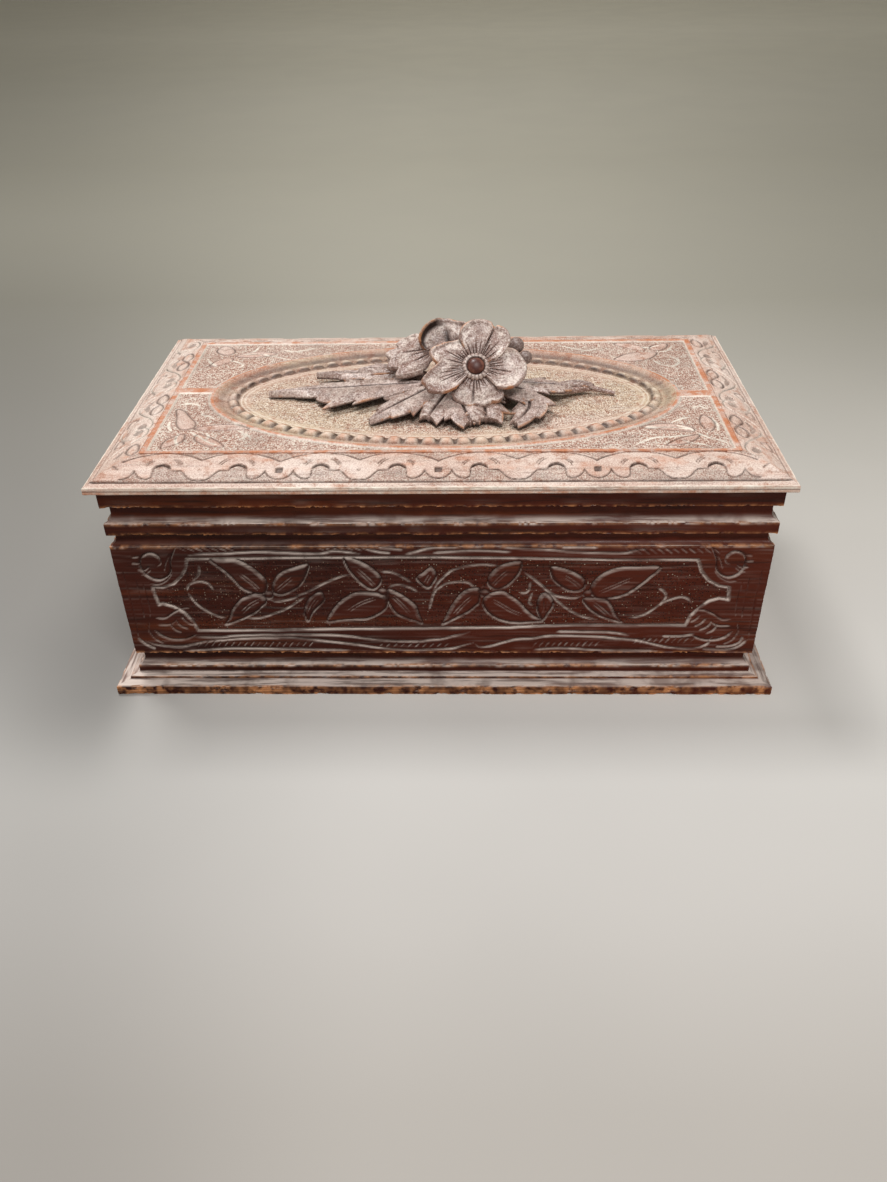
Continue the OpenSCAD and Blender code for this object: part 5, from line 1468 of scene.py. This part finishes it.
SPRAY_LEAVES = [
    ([(-116, -18), (-114, -26), (-112.5, -33), (-109, -38), (-104.5, -36.5), (-104.5, -31.5), (-108.5, -25),
      (-112, -19.5)], [(-106.5, -36), (-110, -30), (-113, -23)]),
    ([(-104, -37), (-98, -34), (-90, -32.8), (-85, -34), (-80.5, -37.2), (-87, -38.4), (-94, -39),
      (-100, -39)], [(-101, -37), (-94, -36), (-87, -36)]),
    ([(-107, -42), (-112, -45.5), (-114, -50), (-113.5, -55), (-109.5, -52.5), (-106, -48)], [(-108, -44),
      (-111, -48), (-112, -52)]),
    ([(-101, -42), (-97, -44), (-91, -49), (-88, -54), (-94, -53.5), (-99, -50), (-102, -46)], [(-99.5, -44.5),
      (-95, -48.5), (-91.5, -52)]),
    ([(112, -26), (109.5, -31), (109.5, -37), (112, -42), (115, -37), (115, -31)], [(112, -40), (112.3, -34),
      (112, -29)]),
    ([(84, -37.5), (91, -34.5), (98, -34.5), (105, -38), (105, -42), (98, -41.5), (91, -40)], [(102, -39),
      (95, -37.8), (88, -37.4)]),
    ([(107, -45), (104, -50), (99, -53.5), (92, -54.5), (95, -50.5), (101, -46.5)], [(104.5, -47),
      (100, -50.5), (95, -53)]),
    ([(-109, 56), (-112.5, 51.5), (-111, 47), (-106, 44), (-103, 47.5), (-104.5, 52.5)], [(-105.5, 46.5),
      (-108, 50), (-109, 53.5)]),
    ([(-102, 43), (-96, 41), (-88, 42), (-82, 45.5), (-88, 48), (-95, 47.5)], [(-99, 44), (-92, 44.8),
      (-86, 45.4)]),
    ([(-105, 41), (-110, 37), (-112, 31), (-107.5, 31), (-103, 35), (-102, 39)], [(-105, 39), (-107.5, 35.5),
      (-110, 32.5)]),
    ([(82, 35), (84, 38.5), (88, 42), (95, 44.5), (103, 44), (102, 40), (98, 35.5), (90, 33)], [(100, 42),
      (93, 39.8), (86, 36.3)]),
    ([(105, 46.5), (109, 50), (110, 55), (105, 54.5), (101, 51), (101, 47.5)], [(103.5, 48), (106, 51),
      (108, 54)]),
    ([(98, 46.5), (92, 48), (86, 52.5), (84, 56), (91, 55.5), (97, 51.5)], [(96.5, 48.5), (91.5, 51.5),
      (87, 55)]),
]


def oval_inset(x, y):
    """Distance inward from the oval's edge, as on the rings of the part's source: exact on the axes."""
    px, py = np.abs(x - OVAL_X), np.abs(y - OVAL_Y)
    low, high = np.full(px.shape, -60.0), np.full(px.shape, OVAL_D / 2 - 0.01)
    for _ in range(34):
        mid = (low + high) / 2
        outside = (px / (OVAL_W / 2 - mid)) ** 2 + (py / (OVAL_D / 2 - mid)) ** 2 > 1
        high = np.where(outside, mid, high)
        low = np.where(outside, low, mid)
    return (low + high) / 2


def draw_panel(c):
    x, y = c.u, c.v
    half_w, half_d = PANEL_W / 2, PANEL_D / 2
    edge = np.minimum(half_w - np.abs(x), half_d - np.abs(y))
    ring = -oval_inset(x, y)
    wob = 0.35 * (field((1, 4000), (1, 300), 5)[0][(np.abs(x * 7 + y * 11) * 3).astype(int) % 4000] - 0.5)
    # distance from the middle of the cross band at this end, which is half as wide as given
    across = np.where(x < 0, np.abs(y - LEFT_BAND[0]), np.abs(y - RIGHT_BAND[0]))
    wide = np.where(x < 0, LEFT_BAND[1], RIGHT_BAND[1])
    raised = (edge < 2.0 + wob) | (ring < 1.2) | ((across < wide) & (np.abs(x) > 60))
    # the ground lies a little lower than the fillets, the cross bands and the ring
    dist = np.minimum(np.abs(edge - 2.0), np.abs(ring - 1.2))
    dist = np.minimum(dist, np.abs(across - wide))
    fall = np.clip(dist / 0.7, 0, 1)
    c.cut += np.where(raised, 0, 0.38 * fall)
    c.punch += np.where(raised, 0, np.clip((dist - 0.5) / 0.8, 0, 1))
    c.worn += np.where(raised, 0.85, 0)
    # pale lines beside them
    for value, place in ((edge, 2.6), (ring, 2.0)):
        line = np.exp(-((value - place) / 0.38) ** 2) * ~raised
        c.fine += 0.25 * line
        c.dust_and_sheen = np.maximum(c.dust_and_sheen, line)
    off = across - (wide + 0.5)
    line = np.exp(-(off / 0.35) ** 2) * (np.abs(x) > 100) * ~raised
    c.dust_and_sheen = np.maximum(c.dust_and_sheen, 0.8 * line)
    for outline, rib in SPRAY_LEAVES:
        c.leaf(outline, 0.85, 0.7, 1.5, rib, 0.4)
    for line in SPRAY_LINES:
        c.groove(line, 1.4, 0.6, 0.2, dust_and_sheen=1.0)


def build_field():
    nx, ny = int(PANEL_W / FIELD_STEP), int(PANEL_D / FIELD_STEP)
    xs, ys = np.linspace(-PANEL_W / 2, PANEL_W / 2, nx), np.linspace(-PANEL_D / 2, PANEL_D / 2, ny)
    y, x = np.meshgrid(ys, xs, indexing="ij")
    c = Carving(x, y)
    draw_panel(c)
    worked(c, xs, 200)
    height, punch, worn, dirt_and_shade, dust_and_sheen = c.result(0.48)
    away = ((x - OVAL_X) / (OVAL_W / 2)) ** 2 + ((y - OVAL_Y) / (OVAL_D / 2)) ** 2
    inside = away < 1
    keep = ~(inside[:-1, :-1] & inside[1:, :-1] & inside[:-1, 1:] & inside[1:, 1:])
    # the points of kept cells that lie inside the oval come out to its edge
    s = 1 / np.sqrt(np.maximum(away, 0.2))
    px = np.where(inside, OVAL_X + (x - OVAL_X) * s, x)
    py = np.where(inside, OVAL_Y + (y - OVAL_Y) * s, y)
    edge = np.minimum(PANEL_W / 2 - np.abs(px), PANEL_D / 2 - np.abs(py))
    height = np.where(inside, -0.1, height) * np.clip(edge / 0.4, 0, 1) - 0.1 * np.clip(1 - edge / 0.8, 0, 1)
    top = np.stack([px, py, LID_TOP + height], -1).reshape(-1, 3)
    j, i = np.nonzero(keep)
    p = j * nx + i
    quads = np.stack([p, p + 1, p + nx + 1, p + nx], 1)
    masks = np.stack([np.clip(dust_and_sheen, 0, 1), worn, punch, dirt_and_shade], -1).reshape(-1, 4)
    # boundary edges of the kept cells, one way round
    edges = np.concatenate([quads[:, [0, 1]], quads[:, [1, 2]], quads[:, [2, 3]], quads[:, [3, 0]]])
    key = edges[:, 0] * len(top) + edges[:, 1]
    back = edges[:, 1] * len(top) + edges[:, 0]
    rim = edges[~np.isin(key, back)]
    used = np.unique(quads)
    number = np.full(len(top), -1)
    number[used] = np.arange(len(used))
    n = len(used)
    quads, rim = number[quads], number[rim]
    ring_points = np.unique(rim)
    low_number = np.full(n, -1)
    low_number[ring_points] = n + np.arange(len(ring_points))
    low = top[used][ring_points].copy()
    low[:, 2] = SLAB_TOP
    verts = np.concatenate([top[used], low])
    masks = np.concatenate([masks[used], np.zeros((len(low), 4))])
    walls = np.stack([rim[:, 1], rim[:, 0], low_number[rim[:, 0]], low_number[rim[:, 1]]], 1)
    # the underside, between the two outlines
    after = dict(rim.tolist())
    loops = []
    while after:
        first, nxt = after.popitem()
        loop = [first]
        while nxt != first:
            loop.append(nxt)
            nxt = after.pop(nxt)
        loops.append(np.array(loop))
    under = tessellate_polygon([[Vector((*verts[k][:2], 0)) for k in loop] for loop in loops])
    order = low_number[np.concatenate(loops)]
    under = order[np.array(under)]
    p, q, r = (verts[under[:, k]][:, :2] for k in range(3))
    up = np.cross(q - p, r - p) > 0
    under[up] = under[up][:, ::-1]
    piece("panel_field", verts, np.concatenate([triangles(quads), triangles(walls), under]), CARVED[1], "lid",
          "lid_panel", masks, angle=50)


def oval_points(inset, a):
    return np.stack([OVAL_X + (OVAL_W / 2 - inset) * np.cos(a), OVAL_Y + (OVAL_D / 2 - inset) * np.sin(a)], -1)


def build_dish():
    """The hollow, the ring of beads and the floor of the oval, as rings from its edge to its middle."""
    cols = DISH_COLS
    # equal steps along the ring of beads
    a = np.linspace(0, 2 * np.pi, 4001)
    ring = oval_points(BEAD_INSET, a)
    length = np.concatenate([[0], np.cumsum(np.linalg.norm(np.diff(ring, axis=0), axis=1))])
    beads = round(length[-1] / BEAD_PITCH)
    ang = np.interp(np.linspace(0, length[-1], cols, endpoint=False), length, a)
    t = np.linspace(0, beads, cols, endpoint=False)[None]
    insets = np.concatenate([np.linspace(0, 7, 20, endpoint=False), np.linspace(7, 13, 20, endpoint=False),
                             np.linspace(13, 51.5, 42)])

    def ridge(at, width):
        return np.exp(-((insets[:, None] - at) / width) ** 2)

    u = np.clip(insets / HOLLOW_W, 0, 1)[:, None]
    z = -OVAL_DEPTH * (1 - (1 - u) ** 1.8) + 0 * t
    off = (insets[:, None] - BEAD_INSET)
    # beads: half round, cut apart by narrow notches, steeper on the inner side
    turn = np.abs((t % 1) - 0.5) * 2
    wide = np.where(off < 0, 2.6, 2.1)
    dome = np.clip(1 - (off / wide) ** 2, 0, 1) ** 0.6
    lump = np.clip(1 - (turn / 0.84) ** 2.4, 0, 1) ** 0.6
    z = z + 1.85 * dome * (0.1 + 0.9 * lump)
    shape = z.shape
    notch = dome * (1 - lump)
    rough = field(shape, (24, 240), 301) - 0.5
    z = z + 0.12 * rough + 0.18 * (field(shape, (8, 60), 302) - 0.5)
    line = ridge(14.2, 0.32) + ridge(15.4, 0.28) * 0.7
    line = line + ridge(12.1, 0.3) * 0.6
    z = z - 0.28 * line
    z[0] = -0.1
    masks = np.zeros((*shape, 4))
    peak = dome * np.clip((lump - 0.75) * 4, 0, 1)
    front = np.clip(-np.sin(ang)[None] * 1.6, 0, 1)
    # wear on the edge ring, and orange wear with a painted highlight on the bead tops of the front half only
    masks[..., 1] = peak * 0.8 * front + ridge(1.2, 1.0) * 0.5 * field(shape, (6, 70), 303)
    masks[..., 2] = np.clip((insets[:, None] - 15.8) / 1.2, 0, 1)
    # painted shade on the beads' inner side, towards the back
    inner = np.exp(-((off - 1.5) / 0.8) ** 2) * (0.4 + 0.6 * np.clip(lump, 0, 1)) * (1 - 0.8 * front)
    # painted shade in the hollow: darkest at the back, none at the front
    shade = np.clip(0.6 + 0.75 * np.sin(ang), 0, 1)[None]
    cove = ridge(3.4, 2.0) * shade * 0.8
    # painted shade in the notches, most on the front half, and at the foot of the hollow
    masks[..., 3] = np.clip(
        notch * 1.5 * (0.35 + 0.65 * front) + inner * 1.1 + cove + ridge(6.3, 0.6) * 0.45, 0, 1)
    # dust and painted highlight along the cut lines, on the bead tops at the back and the beads' outer side at
    # the front
    masks[..., 0] = np.clip(
        line * 0.9 + 0.25 * peak * (1 - front) + (0.1 + 0.25 * front) * dome * (off < 0), 0, 1)
    ring = oval_points(insets[:, None], ang[None])
    top = np.concatenate([ring, (LID_TOP + z)[..., None]], -1)
    low = top[0].copy()
    low[:, 2] = SLAB_TOP
    rows = len(insets)
    n = rows * cols
    last = top[-1].mean(0)
    verts = np.concatenate([top.reshape(-1, 3), low, [last], [[OVAL_X, OVAL_Y, SLAB_TOP]]])
    masks = np.concatenate([masks.reshape(-1, 4), np.zeros((cols + 2, 4))])
    masks[n + cols] = (0, 0, 1, 0)
    quads = round_quads(rows, cols)
    j = np.arange(cols)
    k = (j + 1) % cols
    walls = np.stack([k, j, n + j, n + k], 1)
    middle = np.stack([(rows - 1) * cols + j, (rows - 1) * cols + k, np.full(cols, n + cols)], 1)
    under = np.stack([n + k, n + j, np.full(cols, n + cols + 1)], 1)
    piece("oval_dish", verts, np.concatenate([triangles(quads), triangles(walls), middle, under]), CARVED_FLOOR,
          "lid", "lid_panel", masks, angle=60)


def build_slab():
    """The panel's lower part, with its tongue and a plain planed underside."""
    prof = [(0, BORDER_Z), (0, BORDER_Z + 1.5), (4, BORDER_Z + 1.5), (4, BORDER_Z + 4.5), (0, BORDER_Z + 4.5),
            (0, SLAB_TOP - 0.05)]
    rings = []
    for out, z in prof:
        w, d = PANEL_W / 2 + out - 0.05, PANEL_D / 2 + out - 0.05
        rings.append([(-w, -d, z), (w, -d, z), (w, d, z), (-w, d, z)])
    verts = np.array(rings).reshape(-1, 3)
    last = (len(prof) - 1) * 4
    faces = np.concatenate([[[0, 3, 2, 1], [last, last + 1, last + 2, last + 3]], round_quads(len(prof), 4)])
    piece("panel_slab", verts, triangles(faces), PLAIN_WOOD, "lid", "lid_panel", smooth=False)


build_field()
build_dish()
build_slab()


# Parts that keep their CAD shape.
def node_material(name):
    if name.startswith("hinge"):
        return HINGE_BRASS
    return PLAIN_WOOD if name in ("bottom_board", "spray_dowels") else STAINED[1]


for name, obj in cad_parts.items():
    obj.data.materials.clear()
    obj.data.materials.append(node_material(name))


# Stage.
# The floor's colour at distances to the back, in metres, and the stretch of them that the ramp spans
RAMP_FROM, RAMP_LENGTH = 0.5, 3.0
FLOOR_COLOURS = [
    (-0.27, (0.45, 0.42, 0.385)), (-0.2, (0.54, 0.515, 0.485)), (-0.13, (0.585, 0.565, 0.535)), (0.0,
     (0.545, 0.52, 0.485)), (0.44, (0.40, 0.38, 0.32)), (1.0, (0.48, 0.455, 0.375)), (1.5, (0.63, 0.60, 0.50)),
    (2.0, (0.76, 0.725, 0.60)), (2.5, (0.90, 0.86, 0.72)),
]


# Half the floor's width, its profile to the back and up, and half the plinth's width and depth, in metres
FLOOR_HALF, FLOOR_PROFILE = 12, [(-9, 0), (4.0, 0), (4.6, 0.08), (5.0, 0.35), (5.2, 0.9), (5.2, 9)]
PLINTH_HALF = 0.145, 0.084
WORLD_COLOUR, WORLD_STRENGTH = (1.0, 0.98, 0.95, 1), 0.33
# Name, place, target, size and power
LAMPS = [
    ("key", (-0.45, 0.45, 1.5), (0, 0, 0.08), 0.5, 14), ("front", (0.2, -0.8, 1.45), (0, 0, 0.05), 0.6, 13)]


def build_stage():
    """A pale floor that runs back to a far backdrop. Its colour falls off towards the left and the back, and
    by the plinth it holds a painted pool of light and, at the plinth's left end, a painted shadow.
    """
    s = Shader("backdrop")
    x, y, _ = s.split(s.node("ShaderNodeTexCoord", out="Object"), "XYZ")
    ramp = s.tree.nodes.new("ShaderNodeValToRGB")
    s.put(ramp.inputs[0], s.math("DIVIDE", s.plus(y, RAMP_FROM), RAMP_LENGTH))
    while len(ramp.color_ramp.elements) < len(FLOOR_COLOURS):
        ramp.color_ramp.elements.new(0.5)
    for element, (place, colour) in zip(ramp.color_ramp.elements, FLOOR_COLOURS):
        element.position = (place + RAMP_FROM) / RAMP_LENGTH
        element.color = (*colour, 1)
    side = s.math("DIVIDE", x, s.math("MAXIMUM", s.plus(y, 0.55), 0.15))
    left = s.step(side, -0.42, -0.02, 1, 0)
    right = s.step(side, 0.05, 0.42)
    back = s.step(y, 0.0, 1.2)
    beside = s.times(s.step(y, -0.16, -0.04), s.step(y, 0.75, 0.2))
    shade = s.minus(1.0, s.times(left, s.plus(0.24, s.plus(s.times(back, 0.12), s.times(beside, 0.24)))))
    far = s.minus(0.04, s.times(s.step(y, 0.05, 0.35), 0.18))
    shade = s.times(shade, s.plus(1.0, s.times(right, s.minus(far, s.times(back, 0.05)))))
    # a painted pool of light: the floor is paler by the plinth, except at its left end, against the plinth's
    # contact shadow
    gap_x, gap_y = (s.math("MAXIMUM", s.minus(s.math("ABSOLUTE", value), half), 0.0)
                    for value, half in zip((x, y), PLINTH_HALF))
    gap = s.math("SQRT", s.plus(s.times(gap_x, gap_x), s.times(gap_y, gap_y)))
    by = s.times(s.step(gap, 0.0, 0.045, 1, 0), s.times(s.step(x, -0.16, -0.10), s.step(y, 0.06, -0.02)))
    shade = s.times(shade, s.plus(1.0, s.times(by, 0.32)))
    # a painted shadow darkens the floor at the plinth's left end
    end = s.times(s.step(gap, 0.0, 0.07, 1, 0), s.step(x, -0.12, -0.15))
    shade = s.times(shade, s.minus(1.0, s.times(end, 0.32)))
    grey = s.tree.nodes.new("ShaderNodeCombineColor")
    for k in range(3):
        s.put(grey.inputs[k], shade)
    base = s.mix(1.0, ramp.outputs[0], grey.outputs[0], "MULTIPLY")
    base = s.mix(s.step(s.noise(9, detail=2), 0.3, 0.7, 0, 0.05), base, (0.30, 0.29, 0.27))
    s.set(Base_Color=base, Roughness=0.95)
    s.set(Specular_IOR_Level=0.1)
    mesh = bpy.data.meshes.new("floor")
    verts = [(sx * FLOOR_HALF, y, z) for y, z in FLOOR_PROFILE for sx in (-1, 1)]
    faces = [(2 * i, 2 * i + 1, 2 * i + 3, 2 * i + 2) for i in range(len(FLOOR_PROFILE) - 1)]
    mesh.from_pydata(verts, [], faces)
    mesh.materials.append(s.mat)
    linked("floor", mesh)


def lamp(name, place, target, size, power):
    data = bpy.data.lights.new(name, "AREA")
    data.shape = "DISK"
    data.size = size
    data.energy = power
    obj = linked(name, data)
    obj.location = place
    obj.rotation_euler = (Vector(target) - Vector(place)).to_track_quat("-Z", "Y").to_euler()


def build_light():
    world = bpy.data.worlds.new("world")
    bpy.context.scene.world = world
    world.use_nodes = True
    back = world.node_tree.nodes["Background"]
    back.inputs[0].default_value = WORLD_COLOUR
    back.inputs[1].default_value = WORLD_STRENGTH
    for values in LAMPS:
        lamp(*values)


build_stage()
build_light()
